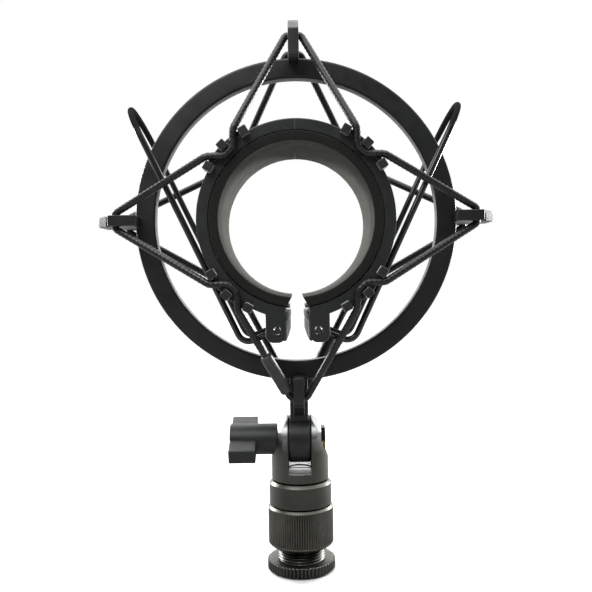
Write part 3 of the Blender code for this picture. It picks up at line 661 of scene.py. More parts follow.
def make_finishes():
    brown_grey = {"dark": (0.075, 0.075, 0.066), "light": (0.115, 0.113, 0.1)}
    metal = {"metallic": 1.0, "grain": (2200, 0.3)}
    bare_metal = {"metallic": 1.0, "grain": (1500, 0.2)}
    return {
        # Ring: a painted sheen on the inner wall and hook ends, painted shade on the top hook's top
        # face, and edges partly worn and partly a painted highlight.
        "ring": surface(
            "moulded_plastic", (0.008, 0.0085, 0.0085), (0.014, 0.015, 0.015), (0.34, 0.5),
            grain=(1500, 0.2), edge_wear_and_highlight=(0.13, 0.135, 0.135), painted_sheen=0.36,
            painted_sheen_on=ring_painted_sheen_places, shaded=(ring_painted_shade_places, (0.02, 0.021, 0.021)),
        ),
        # Shell: a painted sheen at low angles, kept off the top of the web, which stays dark as
        # painted shade; edges partly worn and partly a painted highlight.
        "shell": surface(
            "shell_plastic", (0.012, 0.0135, 0.0135), (0.019, 0.021, 0.021), (0.36, 0.5),
            grain=(1500, 0.2), edge_wear_and_highlight=(0.15, 0.15, 0.15), painted_sheen=0.6, painted_sheen_on=shell_painted_sheen_places,
        ),
        # Knob: edges partly worn and partly a painted highlight.
        "knob": surface(
            "knob_plastic", (0.01, 0.0115, 0.0115), (0.018, 0.0195, 0.0195), (0.42, 0.55),
            grain=(1800, 0.25), edge_wear_and_highlight=(0.06, 0.06, 0.06),
        ),
        "foam": surface(
            "foam_rubber", (0.075, 0.077, 0.07), (0.115, 0.117, 0.106), (0.9, 1.0),
            grain=(2600, 0.8), patch=140, specular=0.1, ends=(0.02, 0.0205, 0.019),
        ),
        "cord": surface(
            "cord_braid", (0.005, 0.005, 0.005), (0.018, 0.018, 0.019), (0.3, 0.45),
            grain=(4000, 0.5), patch=700,
        ),
        "joiner": surface(
            "heat_shrink", (0.03, 0.03, 0.03), (0.055, 0.055, 0.055), (0.35, 0.5),
            grain=(1200, 0.3), patch=200,
        ),
        # Wire: painted shade, darker and without gloss, over the tops of the loops.
        "wire": surface(
            "gloss_wire", (0.01, 0.01, 0.01), (0.02, 0.02, 0.02), (0.12, 0.22),
            grain=(500, 0.08), coat=0.5, shaded=(wire_painted_shade_tops, (0.02, 0.02, 0.02)),
        ),
        # Base: edges partly worn and partly a painted highlight.
        "base": surface(
            "anodised_metal", **brown_grey, roughness=(0.3, 0.42), **metal, edge_wear_and_highlight=(0.4, 0.37, 0.32)
        ),
        # Collar: light edges on its rims, partly worn and partly a painted highlight.
        "collar": surface(
            "collar_metal", (0.07, 0.07, 0.062), (0.11, 0.108, 0.096), (0.3, 0.42), **metal,
            edge_wear_and_highlight=(0.7, 0.67, 0.6), edge_wear_and_highlight_width=0.3 * MM,
        ),
        # Yoke: painted highlight on the upper parts of the ears, a slot floor scraped to the metal,
        # painted shade on the slot walls, and edges partly worn and partly a painted highlight.
        "yoke": surface(
            "yoke_metal", **brown_grey, roughness=(0.3, 0.45), **metal, edge_wear_and_highlight=(0.55, 0.52, 0.46),
            bare_and_painted_light=(yoke_painted_highlight_and_bare_floor, (0.42, 0.43, 0.43)),
            shaded=(yoke_painted_shade_walls, (0.012, 0.012, 0.011)),
        ),
        # Thread: painted highlight on the crests.
        "thread": surface(
            "thread_metal", (0.012, 0.012, 0.01), (0.03, 0.03, 0.027), (0.3, 0.4), **metal,
            bare_and_painted_light=(thread_crest_painted_highlights, (0.13, 0.13, 0.12)),
        ),
        "steel": surface(
            "plain_steel", (0.3, 0.3, 0.3), (0.42, 0.42, 0.41), (0.25, 0.4), **bare_metal
        ),
        # Brass nut: painted dark reflection over its upper half, and edges partly worn and partly a
        # painted highlight.
        "brass": surface(
            "bare_brass", (0.42, 0.27, 0.1), (0.6, 0.42, 0.18), (0.22, 0.35), **bare_metal,
            edge_wear_and_highlight=(0.75, 0.6, 0.35), bare_and_painted_light=(nut_painted_dark_top, (0.008, 0.007, 0.006)),
        ),
        "nylon": surface("nylon", (0.5, 0.5, 0.46), (0.6, 0.6, 0.56), (0.4, 0.5)),
    }


def finished(obj, finish, body, slot, *nodes):
    """Gives a piece its finish, the body it rides on and the nodes it stands for; slot is not used.
    """
    obj.data.materials.clear()
    obj.data.materials.append(FINISHES[finish])
    if body:
        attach(obj, body)
    if nodes:
        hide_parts(*nodes)
    return obj


# -------- stand end

def rib(depth, count, flat=0.35):
    """Depth of the grooves between the ribs of a knurl, as a function of the angle."""
    def shape(angle):
        wave = 0.5 + 0.5 * cos(count * angle)
        return depth * (1 - min(1.0, wave / (1 - flat)))
    return shape


def make_thread_adapter():
    groove = rib(0.55 * MM, FLANGE_TEETH)

    def toothed(radius, angle, _):
        return radius - groove(angle) if radius > FLANGE_R - 0.5 * MM else radius

    flange_outline = [(SOCKET_R, 0), (FLANGE_R, 0), (FLANGE_R, FLANGE_TOP), (SOCKET_R, FLANGE_TOP)]
    profile = softened(flange_outline, 0.3 * MM)
    flange = lathe("adapter_flange", profile, FLANGE_TEETH * 8, reshape=toothed)
    finished(flange, "base", "base", "base_metal", "thread_adapter")
    finished(make_thread(), "thread", "base", "base_metal")


def make_thread():
    """Male thread: a V-shaped ridge that climbs one pitch a turn."""
    around, rows = 96, []
    angles = [2 * pi * i / around for i in range(around)]
    start, end = FLANGE_TOP - 0.2 * MM, STUD_TOP_Z
    count = int((end - start) / (THREAD_PITCH / 8))
    depth, chamfer, chamfer_length = 0.5 * MM, 0.4 * MM, 0.6 * MM
    for k in range(count + 1):
        height = start + (end - start) * k / count
        fade = min(1.0, (end - height) / chamfer_length)
        row = []
        for i, angle in enumerate(angles):
            phase = (height / THREAD_PITCH - i / around) % 1
            radius = THREAD_R - depth * abs(2 * phase - 1) - (1 - fade) * chamfer
            row.append(Vector((*polar(radius, angle), height)))
        rows.append(row)
    for height in (end, start):
        rows.append([Vector((*polar(SOCKET_R, angle), height)) for angle in angles])
    return grid("adapter_thread", rows, True)


def make_sleeve():
    groove = rib(0.32 * MM, SLEEVE_RIBS)
    low_z, high_z = SLEEVE_LOW.z, SLEEVE_HIGH.z
    floor, bore, neck = high_z - 2.2 * MM, 8.15 * MM, 4.8 * MM
    edge = 0.7 * MM
    outline = [
        (SLEEVE_R - edge, high_z), (SLEEVE_R, high_z - edge), (SLEEVE_R, low_z + edge),
        (SLEEVE_R - edge, low_z), (bore, low_z), (bore, floor), (neck, floor), (neck, high_z),
    ]
    profile = softened(outline, 0.12 * MM)

    def ribbed(radius, angle, height):
        inside = low_z + 0.9 * MM < height < high_z - 0.9 * MM
        return radius - groove(angle) if radius > SLEEVE_R - 0.05 * MM and inside else radius

    dense = []
    rib_ends = (high_z - 0.85 * MM, high_z - 1.1 * MM, low_z + 1.1 * MM, low_z + 0.85 * MM)
    for a, b in zip(profile, profile[1:] + profile[:1]):
        dense.append(a)
        if a[1] - b[1] > 5 * MM and a[0] > SLEEVE_R - 0.3 * MM:
            dense += [Vector((SLEEVE_R, z)) for z in rib_ends]
    sleeve = lathe("sleeve", dense, SLEEVE_RIBS * 6, reshape=ribbed)
    finished(sleeve, "base", "sleeve", "base_metal", "knurled_sleeve")


def make_collar():
    spigot_z, low_z, high_z = COLLAR_LOW.z, COLLAR_LOW.z + 4 * MM, COLLAR_HIGH.z
    spigot_r, recess_r, recess_z = 4.5 * MM, 7.3 * MM, 28.0 * MM
    edge, low_edge = 0.9 * MM, 0.3 * MM
    outline = [
        (recess_r, high_z), (COLLAR_R - edge, high_z), (COLLAR_R, high_z - edge),
        (COLLAR_R, low_z + low_edge), (COLLAR_R - low_edge, low_z), (spigot_r, low_z),
        (spigot_r, spigot_z), (SWIVEL_BORE_R, spigot_z), (SWIVEL_BORE_R, recess_z),
        (recess_r, recess_z),
    ]
    collar = lathe("collar", softened(outline, 0.15 * MM), 144)
    finished(collar, "collar", "collar", "base_metal", "swivel_collar")


# -------- yoke and knob

def make_yoke():
    edge = 0.4 * MM
    start, end = (degrees(acos(r / YOKE_DOME_R)) for r in (SWIVEL_BORE_R, YOKE_R))
    outline = arc((0, YOKE_DOME_Z), YOKE_DOME_R, start, end, 14)
    bottom = YOKE_LOW.z
    outline += [(YOKE_R, bottom + edge), (YOKE_R - edge, bottom), (SWIVEL_BORE_R, bottom)]
    body = lathe("yoke_body", outline, 128)
    reach = 2 * YOKE_R
    cuts = [block("slot", (-SLOT_HALF, -reach, SLOT_FLOOR), (SLOT_HALF, reach, 3 * reach), 0)]
    for side in (-1, 1):
        near, far = sorted((side * EAR_FLAT_X, side * reach))
        cuts.append(block("flat", (near, -reach, PIVOT_Z), (far, reach, 3 * reach), 0))
        cuts.append(pivot_rod("spot", EAR_SPOT_R, side * EAR_FLAT_X, side * reach))
    cuts.append(pivot_rod("pivot_bore", PIVOT_BORE_R, -reach, reach, 48))
    pocket_r = NUT_POCKET_HALF / cos(pi / 6)
    cuts.append(pivot_rod("pocket", pocket_r, NUT_POCKET_X, reach, 6))
    cuts.append(rod("head_pocket", HEAD_POCKET_R, *[(0, 0, z) for z in HEAD_POCKET_Z], 48))
    cuts.append(outside_of_ears())
    yoke = fuse("yoke_fork", body, cut=cuts)
    soften_edges(yoke, 0.3 * MM)
    finished(yoke, "yoke", "yoke", "base_metal", "yoke")


def outside_of_ears():
    """All that lies over the round top of the ears, seen along X."""
    radius = YOKE_HIGH.z - PIVOT_Z
    side = YOKE_R + MM
    skim = YOKE_R + 0.05 * MM
    foot = PIVOT_Z - 8 * MM
    top = 3 * side + PIVOT_Z
    outline = [(side, foot), (side, top), (-side, top), (-side, foot), (-skim, foot)]
    outline += arc((0, PIVOT_Z), radius, 180, 0, 40)
    outline += [(skim, foot)]
    return prism("over_ears", outline, 4 * YOKE_R, seen_along_x(), 0)


def soften_edges(obj, width):
    """Bevels the sharp edges of a fused body, before its shading is evened out."""
    bevel = obj.modifiers.new("soft edges", "BEVEL")
    bevel.width = width
    bevel.segments = 2
    bevel.limit_method = "ANGLE"
    bevel.angle_limit = radians(38)
    obj.modifiers.move(1, 0)


def make_nut_and_screw():
    corner = NUT_HALF / cos(pi / 6)
    centre = (NUT_LOW.x + NUT_HIGH.x) / 2
    hexagon = [polar(corner, radians(60 * i)) for i in range(6)]
    place = seen_along_x(centre, PIVOT_Z)
    nut = prism("nut_blank", hexagon, NUT_HIGH.x - NUT_LOW.x, place, 0.3 * MM)
    hole = pivot_rod("nut_hole", PIVOT_BORE_R, 0, 12 * MM, 32)
    finished(fuse("hex_nut", nut, cut=[hole]), "brass", "yoke", "brass", "pivot_nut")
    screw = pivot_rod("clamp_bolt", SCREW_R, KNOB_LOW.x + 3 * MM, SCREW_END_X, 48, 0.35 * MM)
    close_up(screw)
    finished(screw, "steel", "knob", "spring_steel", "clamp_screw")


def make_wing_knob():
    hub = pivot_rod("hub", HUB_R, KNOB_LOW.x, KNOB_HIGH.x, 72, 0.4 * MM)
    x, y = WING_HALF
    outline = softened([(x, y), (-x, y), (-x, -y), (x, -y)], 0.5 * MM, 4)
    middle = KNOB_LOW.x + WING_MIDDLE
    turn = Matrix.Translation((middle, 0, PIVOT_Z)) @ Matrix.Rotation(WING_TURN, 4, "X")
    wing = prism("wing", outline, WING_WIDTH, turn @ seen_along_x(), 0.35 * MM, 3)
    bore = pivot_rod("knob_bore", PIVOT_BORE_R, KNOB_LOW.x + 2.7 * MM, 0, 32)
    knob = fuse("knob", hub, [wing], [bore])
    finished(knob, "knob", "knob", "black_plastic", "wing_knob")


# -------- outer ring

def hook_outline():
    """Plate outline: x is the radius, y the distance along the microphone axis."""
    notch = HOOK_NOTCH - 0.1 * MM
    front = [
        ((HOOK_BASE, HOOK_END_Y), 0.3), ((HOOK_LIP, HOOK_END_Y), 0.7), ((HOOK_LIP, HOOK_LIP_Y), 0.6),
        ((notch, HOOK_LIP_Y), 1.2), ((notch, HOOK_STEM_Y), 1.2),
        ((HOOK_SHOULDER, HOOK_STEM_Y), 0.4), ((HOOK_TIP, HOOK_TOP_Y), 0.5),
    ]
    both = front + [((r, -d), bend) for (r, d), bend in reversed(front)]
    return softened([p for p, _ in both], [bend * MM for _, bend in both], 4)


def make_outer_ring():
    profile = softened(band_section(RING_R_OUT, RING_R_IN, RING_DEPTH / 2), 0.8 * MM, 3)
    ring = lathe("ring", profile, 240, facing_front(z=RING_Z))
    added = []
    for angle in (0, 90, 180, 270):
        place = along_axis_at(radians(angle), RING_Z)
        added.append(prism("hook", hook_outline(), HOOK_THICK, place, 0.35 * MM))
    stem_top = RING_Z - RING_R_OUT + 1.5 * MM
    added.append(upright("stem", STEM_WIDTH, STEM_DEPTH, stem_top, 0.5 * MM))
    added.append(upright("eye_block", EYE_WIDTH, EYE_BLOCK_DEPTH, EYE_BLOCK_TOP, 0.3 * MM))
    added.append(pivot_rod("eye", EYE_R, -EYE_WIDTH / 2, EYE_WIDTH / 2, 72, 0.4 * MM))
    hole = pivot_rod("eye_hole", PIVOT_BORE_R, -STEM_WIDTH, STEM_WIDTH, 32)
    body = fuse("ring_moulding", ring, added, [hole] + ejector_marks())
    finished(body, "ring", "ring", "black_plastic", "outer_ring")


def upright(name, width, depth, top, bevel):
    """A block that stands on the pivot axis."""
    return block(name, (-width / 2, -depth / 2, PIVOT_Z), (width / 2, depth / 2, top), bevel)


def ejector_marks():
    """Shallow round marks of the mould's pins, on both faces beside each hook."""
    marks = []
    middle = (RING_R_IN + RING_R_OUT) / 2
    for hook in (0, 90, 180, 270):
        for aside in (-MARK_ANGLE, MARK_ANGLE):
            spot = polar(middle, radians(hook + aside))
            for face in (-1, 1):
                depths = (RING_DEPTH / 2 - MARK_DEPTH, RING_DEPTH)
                ends = [(spot.x, face * y, RING_Z + spot.y) for y in depths]
                marks.append(rod("mark", MARK_R, *ends, 32))
    return marks


# -------- cradle

def half_band(name, section, side, ends, step_deg=1.5):
    """A (radius, y) section swept from the crown to the mouth; ends(radius) is X where it stops."""
    steps = int(172 / step_deg)
    rows = []
    for i in range(steps + 1):
        row = []
        for radius, y in section:
            last = pi / 2 + acos(min(1.0, ends(radius) / radius))
            spot = polar(radius, pi / 2 - side * last * i / steps)
            row.append(Vector((spot.x, y, CRADLE_Z + spot.y)))
        rows.append(row)
    return grid(name, rows, False)


def shell_section():
    outline = [
        (SHELL_R_OUT, SHELL_HALF_Y), (SHELL_R_OUT, -SHELL_HALF_Y), (SHELL_R_IN, -SHELL_HALF_Y),
        (SHELL_R_IN, -GROOVE_HALF_Y), (GROOVE_R, -GROOVE_HALF_Y), (GROOVE_R, GROOVE_HALF_Y),
        (SHELL_R_IN, GROOVE_HALF_Y), (SHELL_R_IN, SHELL_HALF_Y),
    ]
    bends = [0.45 * MM, 0.45 * MM, 0.3 * MM, 0, 0, 0, 0, 0.3 * MM]
    return softened(outline, bends, 3)


def make_shell(side_name, side):
    shell = half_band("shell", shell_section(), side, lambda _: FOOT_X[0])
    added = feet(side)
    cuts = []
    x, z = FOOT_HOLE
    for y_side in (-1, 1):
        near, far = SHELL_HALF_Y - FOOT_THICK - MM, SHELL_HALF_Y + 2 * MM
        ends = [(side * x, y, z) for y in sorted((y_side * near, y_side * far))]
        cuts.append(rod("foot_hole", FOOT_HOLE_R, *ends, 40))
    for angle in STATIONS[side_name]:
        for y_side in (-1, 1):
            added += station(radians(angle), y_side)
    piece = fuse("shell_" + side_name, shell, added, cuts)
    finished(piece, "shell", None, "black_plastic", "cradle_shell_" + side_name)
    bend_with_jaw(piece)


def bend_with_jaw(piece):
    """Bakes the piece's placement into its mesh."""
    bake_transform(piece)


def feet(side):
    """The two feet of one half and its part of the web between them."""
    inner_x, outer_x = FOOT_X
    base = FOOT_BOTTOM_Z
    shoulder = CRADLE_Z - SHELL_R_OUT + 1.5 * MM
    outline = arc((outer_x - FOOT_ROUND, base + FOOT_ROUND), FOOT_ROUND, 0, -90, 10)
    outline += arc((inner_x + FOOT_ROUND, base + FOOT_ROUND), FOOT_ROUND, -90, -180, 10)
    outline += [(inner_x, shoulder + 1.0 * MM), (outer_x, shoulder + 2.4 * MM)]
    outline = mirrored(outline, side)
    made = []
    for y_side in (-1, 1):
        y = y_side * (SHELL_HALF_Y - FOOT_THICK / 2)
        made.append(prism("foot", outline, FOOT_THICK, facing_front(y=y), 0.3 * MM))
    return made + [web_plate(side, shoulder)]


def web_plate(side, shoulder):
    """Half of the web between the feet, slanting back from its front edge."""
    near, far = WEB_X
    behind = FOOT_X[0] + 0.3 * MM
    web = [
        (near, shoulder), (near, WEB_BOTTOM_Z + 2 * MM), (near + 0.8 * MM, WEB_BOTTOM_Z + 0.6 * MM),
        (far - 0.6 * MM, WEB_BOTTOM_Z), (far, WEB_BOTTOM_Z + 0.4 * MM), (far, shoulder + 1.2 * MM),
        (behind, shoulder + 1.2 * MM), (behind, shoulder),
    ]
    half = SHELL_HALF_Y
    slant = [(WEB_FRONT_X, -half), (near, half), (0, half), (0, -half)]
    level = Matrix.Translation((0, 0, (shoulder + WEB_BOTTOM_Z) / 2))
    cut = prism("web_slant", mirrored(slant, side), 2 * (shoulder - WEB_BOTTOM_Z), level, 0)
    plate = prism("web_blank", mirrored(web, side), 2 * (half - MM), facing_front(), 0)
    piece = fuse("web", plate, cut=[cut])
    piece.modifiers.clear()
    return piece


def station(angle, y_side):
    """Raised pad with three square pegs for the cord."""
    made = [pad(angle, y_side)]
    near, far = sorted((y_side * PEG_START_Y, y_side * PEG_END_Y))
    half = PEG / 2
    for peg in (-1, 0, 1):
        radius = SIDE_PEG_R if peg else MID_PEG_R
        low_corner, high_corner = (radius - half, near, -half), (radius + half, far, half)
        made.append(block("peg", low_corner, high_corner, 0.28 * MM, 3))
        made[-1].data.transform(along_axis_at(angle + peg * SIDE_PEG_ANGLE, CRADLE_Z))
    return made


def pad(angle, y_side):
    inner, outer = SHELL_R_IN + MM, PAD_R
    start, end = (degrees(angle + s * PAD_HALF_ANGLE) for s in (-1, 1))
    outline = arc((0, CRADLE_Z), outer, start, end, 14) + arc((0, CRADLE_Z), inner, end, start, 14)
    middle = y_side * (SHELL_HALF_Y - 0.15 * MM - PAD_DEPTH / 2)
    return prism("pad", outline, PAD_DEPTH, facing_front(y=middle), 0.25 * MM)


def make_foam(side_name, side):
    """Foam with soft edges, fine pores in its shape and a slanting end at the mouth."""
    outline = band_section(FOAM_R_OUT, FOAM_R_IN, FOAM_HALF_Y)
    rounded = softened(outline, [0.25 * MM, 0.25 * MM, 0.45 * MM, 0.45 * MM], 3)
    section = []
    for a, b in zip(rounded, rounded[1:] + rounded[:1]):
        pieces = max(1, round((b - a).length / (0.75 * MM)))
        section += [a.lerp(b, k / pieces) for k in range(pieces)]
    slope = (FOAM_END_X[1] - FOAM_END_X[0]) / (FOAM_R_OUT - FOAM_R_IN)

    def ends(radius):
        return FOAM_END_X[0] + slope * (radius - FOAM_R_IN)

    foam = half_band("foam_" + side_name, section, side, ends, 1.6)
    pore = 0.05 * MM
    for vertex in foam.data.vertices:
        depth = noise.noise(vertex.co * 1400) * pore if abs(vertex.co.x) > 0.2 * MM else 0
        vertex.co += vertex.normal * (depth - pore / 2)
    finished(foam, "foam", None, "foam", "foam_liner_" + side_name)
    bend_with_jaw(foam)


def make_spring(side_name, side):
    inner, outer = SPRING_R
    section = softened(band_section(outer, inner, SPRING_HALF_Y), 0.1 * MM, 2)
    band = half_band("spring_" + side_name, section, side, lambda _: SPRING_END_X)
    finished(band, "steel", None, "spring_steel", "clamp_spring")
    bend_with_jaw(band)


# -------- cords

def station_corners(angle):
    """The four peg corners that the cord bends round at one station, anticlockwise."""
    centre = Vector((0, CRADLE_Z))
    found = []
    for side in (-1, 1):
        peg = angle + side * SIDE_PEG_ANGLE
        near = polar(SIDE_PEG_R + PEG / 2, peg) - side * polar(PEG / 2, peg + pi / 2)
        inner = polar(MID_PEG_R - PEG / 2, angle) + side * polar(PEG / 2, angle + pi / 2)
        found += [(centre + near, 1, CORD_STATION_Y), (centre + inner, -1, CORD_STATION_Y)][::-side]
    return found


def cord_corners():
    """Corners a cord bends round: point in X and Z, 1 outside or -1 inside, distance from Y=0."""
    corners = []
    stations = sorted(angle % 360 for angles in STATIONS.values() for angle in angles)
    for hook, angle in zip((0, 90, 180, 270), stations):
        along = polar(1, radians(hook))
        across = Vector((-along.y, along.x))
        for side in (-1, 1):
            spot = along * HOOK_NOTCH + across * side * HOOK_THICK / 2
            corners.append((spot + Vector((0, RING_Z)), 1, CORD_HOOK_Y))
        corners += station_corners(radians(angle))
    return corners


def cord_path(y_side, bend_steps=8):
    """The closed path of a cord round all its corners."""
    corners = cord_corners()
    headings = []
    for (a, side_a, _), (b, side_b, _) in zip(corners, corners[1:] + corners[:1]):
        way = b - a
        lean = asin((side_b - side_a) * CORD_BEND / way.length)
        headings.append(atan2(way.y, way.x) - lean)
    path = []
    for i, (corner, side, depth) in enumerate(corners):
        arrive, leave = headings[i - 1], headings[i]
        turn = (leave - arrive + pi) % (2 * pi) - pi
        for k in range(bend_steps + 1):
            heading = arrive + turn * k / bend_steps
            spot = corner - side * CORD_BEND * Vector((-sin(heading), cos(heading)))
            path.append(Vector((spot.x, y_side * depth, spot.y)))
    return path


def resampled(path, step, closed):
    """Evenly spaced points along a polyline."""
    points = np.array(path + path[:1] if closed else path)
    lengths = np.linalg.norm(np.diff(points, axis=0), axis=1)
    along = np.concatenate([[0], np.cumsum(lengths)])
    count = int(round(along[-1] / step))
    wanted = np.linspace(0, along[-1], count + 1)
    even = np.stack([np.interp(wanted, along, points[:, k]) for k in range(3)], axis=1)
    return even[:-1] if closed else even


def relaxed(points, passes, closed):
    """Eases kinks out of a line of evenly spaced points."""
    for _ in range(passes):
        before, after = np.roll(points, 1, axis=0), np.roll(points, -1, axis=0)
        eased = 0.5 * points + 0.25 * (before + after)
        if not closed:
            eased[0], eased[-1] = points[0], points[-1]
        points = eased
    return points


def carried_frames(points, closed):
    """A pair of cross directions at each point, turning as little as possible."""
    if closed:
        tangents = np.roll(points, -1, axis=0) - np.roll(points, 1, axis=0)
    else:
        tangents = np.gradient(points, axis=0)
    tangents /= np.linalg.norm(tangents, axis=1)[:, None]
    first = np.cross(tangents[0], (0.3, 1.0, 0.2))
    normals = [first / np.linalg.norm(first)]
    for tangent in tangents[1:]:
        carried = normals[-1] - tangent * (normals[-1] @ tangent)
        normals.append(carried / np.linalg.norm(carried))
    normals = np.array(normals)
    return normals, np.cross(tangents, normals)


def skin(name, points, normals, across, radius, sides, relief=None, start_at=0.0):
    """A round skin over a stretch of path; relief(distance, angle) adds to the radius."""
    rows = []
    step = np.linalg.norm(points[1] - points[0])
    angles = np.linspace(0, 2 * pi, sides, endpoint=False)
    for i, point in enumerate(points):
        reach = radius[i] if hasattr(radius, "__len__") else radius
        extra = relief(start_at + i * step, angles) if relief else 0.0
        size = (reach + extra) * np.ones(sides)
        along_normal = np.outer(size * np.cos(angles), normals[i])
        ring = point + along_normal + np.outer(size * np.sin(angles), across[i])
        rows.append([Vector(p) for p in ring])
    return grid(name, rows, False, smooth_angle=60)


def braid(distance, angles):
    """Height of a braided cover: small diamond lumps in two opposite spirals."""
    strands, lay = 7, 10.5 * MM
    left = strands * (angles / (2 * pi) + distance / lay)
    right = strands * (angles / (2 * pi) - distance / lay)
    return 0.16 * MM * (np.abs(np.sin(pi * left) * np.sin(pi * right)) - 0.6)


def make_cord(side_name, y_side):
    """A braided cord, cut in the middle of each free strand into hook pieces and peg pieces."""
    step = 0.26 * MM
    points = relaxed(resampled(cord_path(y_side), step, True), 8, True)
    cord = (points, *carried_frames(points, True))
    count = len(points)
    centre = np.array((0, 0, (RING_Z + CRADLE_Z) / 2))
    reach = np.linalg.norm((points - centre)[:, (0, 2)], axis=1)
    outside = reach > 0.5 * (HOOK_NOTCH + SIDE_PEG_R)
    outward = [i for i in range(count) if outside[i] and not outside[i - 1]]
    inward = [i for i in range(count) if not outside[i] and outside[i - 1]]
    for kind, starts, stops in (("hook", outward, inward), ("peg", inward, outward)):
        for number, start in enumerate(starts):
            stop = next((s for s in stops if s > start), stops[0] + count)
            span = [i % count for i in range(start, stop + 1)]
            cord_piece(f"cord_{side_name}_{kind}_{number}", cord, span, start * step)
    return cord


def cord_piece(name, cord, span, start_at):
    """One stretch of cord; a hook piece spans ring and cradle, a peg piece spans cradle and jaw."""
    points, normals, across = (values[span] for values in cord)
    piece = skin(name, points, normals, across, CORD_R, 28, braid, start_at)
    middle = points[len(span) // 2]
    finished(piece, "cord", None, "cord", "front_cord" if middle[1] < 0 else "rear_cord")
    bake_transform(piece)


def make_joiner(cord, node):
    """Heat-shrink tube over the stretch of cord nearest the middle of the node's box."""
    points = cord[0]
    low_corner, high_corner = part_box(node)
    spot = np.array((low_corner + high_corner) / 2)
    middle = int(np.argmin(np.linalg.norm(points - spot, axis=1)))
    half = int(JOINER_LENGTH / 2 / np.linalg.norm(points[1] - points[0]))
    span = [(middle + k) % len(points) for k in range(-half, half + 1)]
    count = len(span)
    from_end = [min(k, count - 1 - k) / 3 for k in range(count)]
    radius = [JOINER_R - 0.5 * MM * max(0.0, 1 - edge) ** 2 for edge in from_end]

    def wrinkles(distance, angles):
        wave = np.sin(distance * 2600 + 2 * np.sin(angles * 2)) * np.cos(angles + distance * 500)
        return 0.04 * MM * wave

    name = node.replace("_cord", "")
    piece = skin(name, *(values[span] for values in cord), radius, 32, wrinkles)
    finished(piece, "joiner", None, "joiner", node)
    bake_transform(piece)


# -------- wire handles

def fillet(points, bends, steps):
    """A 3D polyline with its inner corners rounded."""
    made = [Vector(points[0])]
    for before, corner, after, bend in zip(points, points[1:], points[2:], bends):
        corner = Vector(corner)
        towards = (Vector(before) - corner).normalized()
        onwards = (Vector(after) - corner).normalized()
        half = towards.angle(onwards) / 2
        reach = bend / tan(half)
        centre = corner + (towards + onwards).normalized() * bend / sin(half)
        first = corner + towards * reach - centre
        last = corner + onwards * reach - centre
        axis = first.cross(last).normalized()
        swing = first.angle(last)
        for i in range(steps + 1):
            made.append(centre + Matrix.Rotation(swing * i / steps, 3, axis) @ first)
    made.append(Vector(points[-1]))
    return made


def make_handle(side_name, side):
    bottom, top = (Vector(p) for p in WIRE_LEG)
    along = (top - bottom).normalized()
    spots = ((FOOT_HOLE, WIRE_TAIL_Y), (FOOT_HOLE, WIRE_Y), (WIRE_HEEL, WIRE_Y), (top, WIRE_Y))
    leg = fillet([(x, -y, z) for (x, z), y in spots], (1.6 * MM, 3.5 * MM), 10)
    loop = []
    steps = 40
    for i in range(1, steps):
        turn = pi * i / steps
        reach = top + along * WIRE_Y * sin(turn)
        loop.append(Vector((reach.x, -WIRE_Y * cos(turn), reach.y)))
    path = leg + loop + [Vector((p.x, -p.y, p.z)) for p in reversed(leg)]
    path = [Vector((side * p.x, p.y, p.z)) for p in path]
    points = relaxed(resampled(path, 0.6 * MM, False), 2, False)
    normals, across = carried_frames(points, False)
    piece = skin("handle_" + side_name, points, normals, across, WIRE_R, 20)
    finished(piece, "wire", "handle_" + side_name, "black_wire", "wire_handle_" + side_name)


# -------- whole object

def finish_cad_nodes():
    """Finishes of the CAD nodes that stay as they are, inside the swivel."""
    for node in ("sleeve_clip", "swivel_screw", "swivel_washer"):
        materials = frame["nodes"][node].data.materials
        materials.clear()
        materials.append(FINISHES["nylon" if node == "swivel_washer" else "steel"])


def make_object():
    make_thread_adapter()
    make_sleeve()
    make_collar()
    make_yoke()
    make_nut_and_screw()
    make_wing_knob()
    make_outer_ring()
    for side_name, side in (("left", -1), ("right", 1)):
        make_shell(side_name, side)
        make_foam(side_name, side)
        make_spring(side_name, side)
        make_handle(side_name, side)
    cords = [make_cord("front", -1), make_cord("rear", 1)]
    for cord, node in zip(cords, ("front_cord_joiner", "rear_cord_joiner")):
        make_joiner(cord, node)
    finish_cad_nodes()


# -------- studio

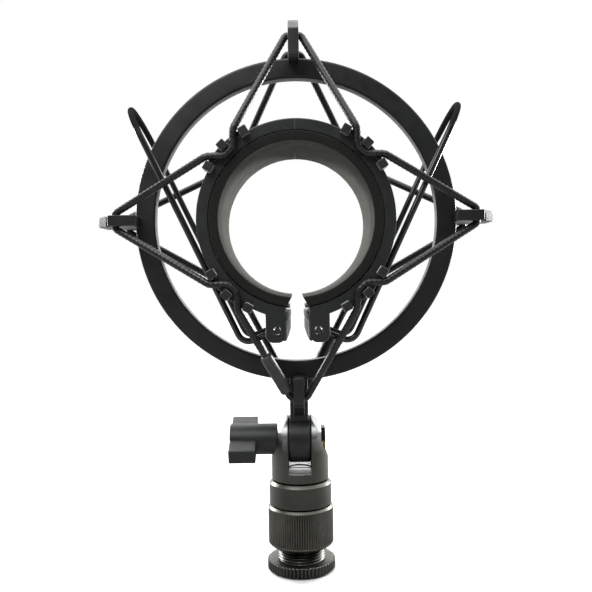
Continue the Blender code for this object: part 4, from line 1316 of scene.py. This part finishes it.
def make_sky():
    """White to the camera; to the object a light tent, bright above and behind, dim in front."""
    world = bpy.data.worlds.new("studio")
    world.use_nodes = True
    tree = world.node_tree
    direction = node_of(tree, "ShaderNodeTexCoord").outputs["Generated"]
    back = map_range(tree, axis_of(tree, direction, "Y"), -0.35, 0.5, 0, BACK_LIGHT, True)
    top = map_range(tree, axis_of(tree, direction, "Z"), 0.5, 0.9, 0, TOP_LIGHT, True)
    tent = maths(tree, "ADD", maths(tree, "ADD", back, top), FRONT_LIGHT)
    choose = node_of(tree, "ShaderNodeMix", data_type="FLOAT")
    camera_ray = node_of(tree, "ShaderNodeLightPath").outputs["Is Camera Ray"]
    feed(tree, camera_ray, choose.inputs["Factor"])
    feed(tree, tent, choose.inputs["A"])
    choose.inputs["B"].default_value = 1.0
    background = tree.nodes["Background"]
    background.inputs["Color"].default_value = (1, 1, 1, 1)
    feed(tree, choose.outputs["Result"], background.inputs["Strength"])
    return world


def make_studio():
    bm = bmesh.new()
    bmesh.ops.create_grid(bm, x_segments=1, y_segments=1, size=FLOOR_SIZE)
    floor = object_from("floor", bm)
    floor.location.z = -0.5 * MM
    pale, tree, shader = new_material("pale_floor")
    seen = node_of(tree, "ShaderNodeLightPath").outputs["Is Camera Ray"]
    tone = mix(tree, seen, (0.2, 0.2, 0.2), (0.65, 0.65, 0.65))
    feed(tree, tone, shader.inputs["Base Color"])
    shader.inputs["Roughness"].default_value = 0.9
    floor.data.materials.append(pale)
    bpy.context.scene.world = make_sky()
    for name, spot, size, power in LAMPS:
        data = bpy.data.lights.new(name, "AREA")
        data.size = size
        data.energy = power
        lamp = new_object(name, data)
        lamp.location = spot
        heading = Vector((0, 0, LAMP_AIM_Z)) - Vector(spot)
        lamp.rotation_euler = heading.to_track_quat("-Z", "Y").to_euler()
    bpy.context.scene.view_settings.view_transform = "Standard"


def make_camera():
    """Camera 245 mm in front of the ring's plane, with the slight lean of the view."""
    data = bpy.data.cameras.new("camera")
    data.lens = 45.0
    data.clip_start = 0.01
    camera = new_object("camera", data)
    spot = Vector(CAMERA_AT)
    look = (Vector(CAMERA_AIM) - spot).to_track_quat("-Z", "Y").to_matrix().to_4x4()
    roll = Matrix.Rotation(CAMERA_ROLL, 4, "Z")
    camera.matrix_world = Matrix.Translation(spot) @ look @ roll
    bpy.context.scene.camera = camera


FINISHES = make_finishes()
make_object()
make_studio()
make_camera()
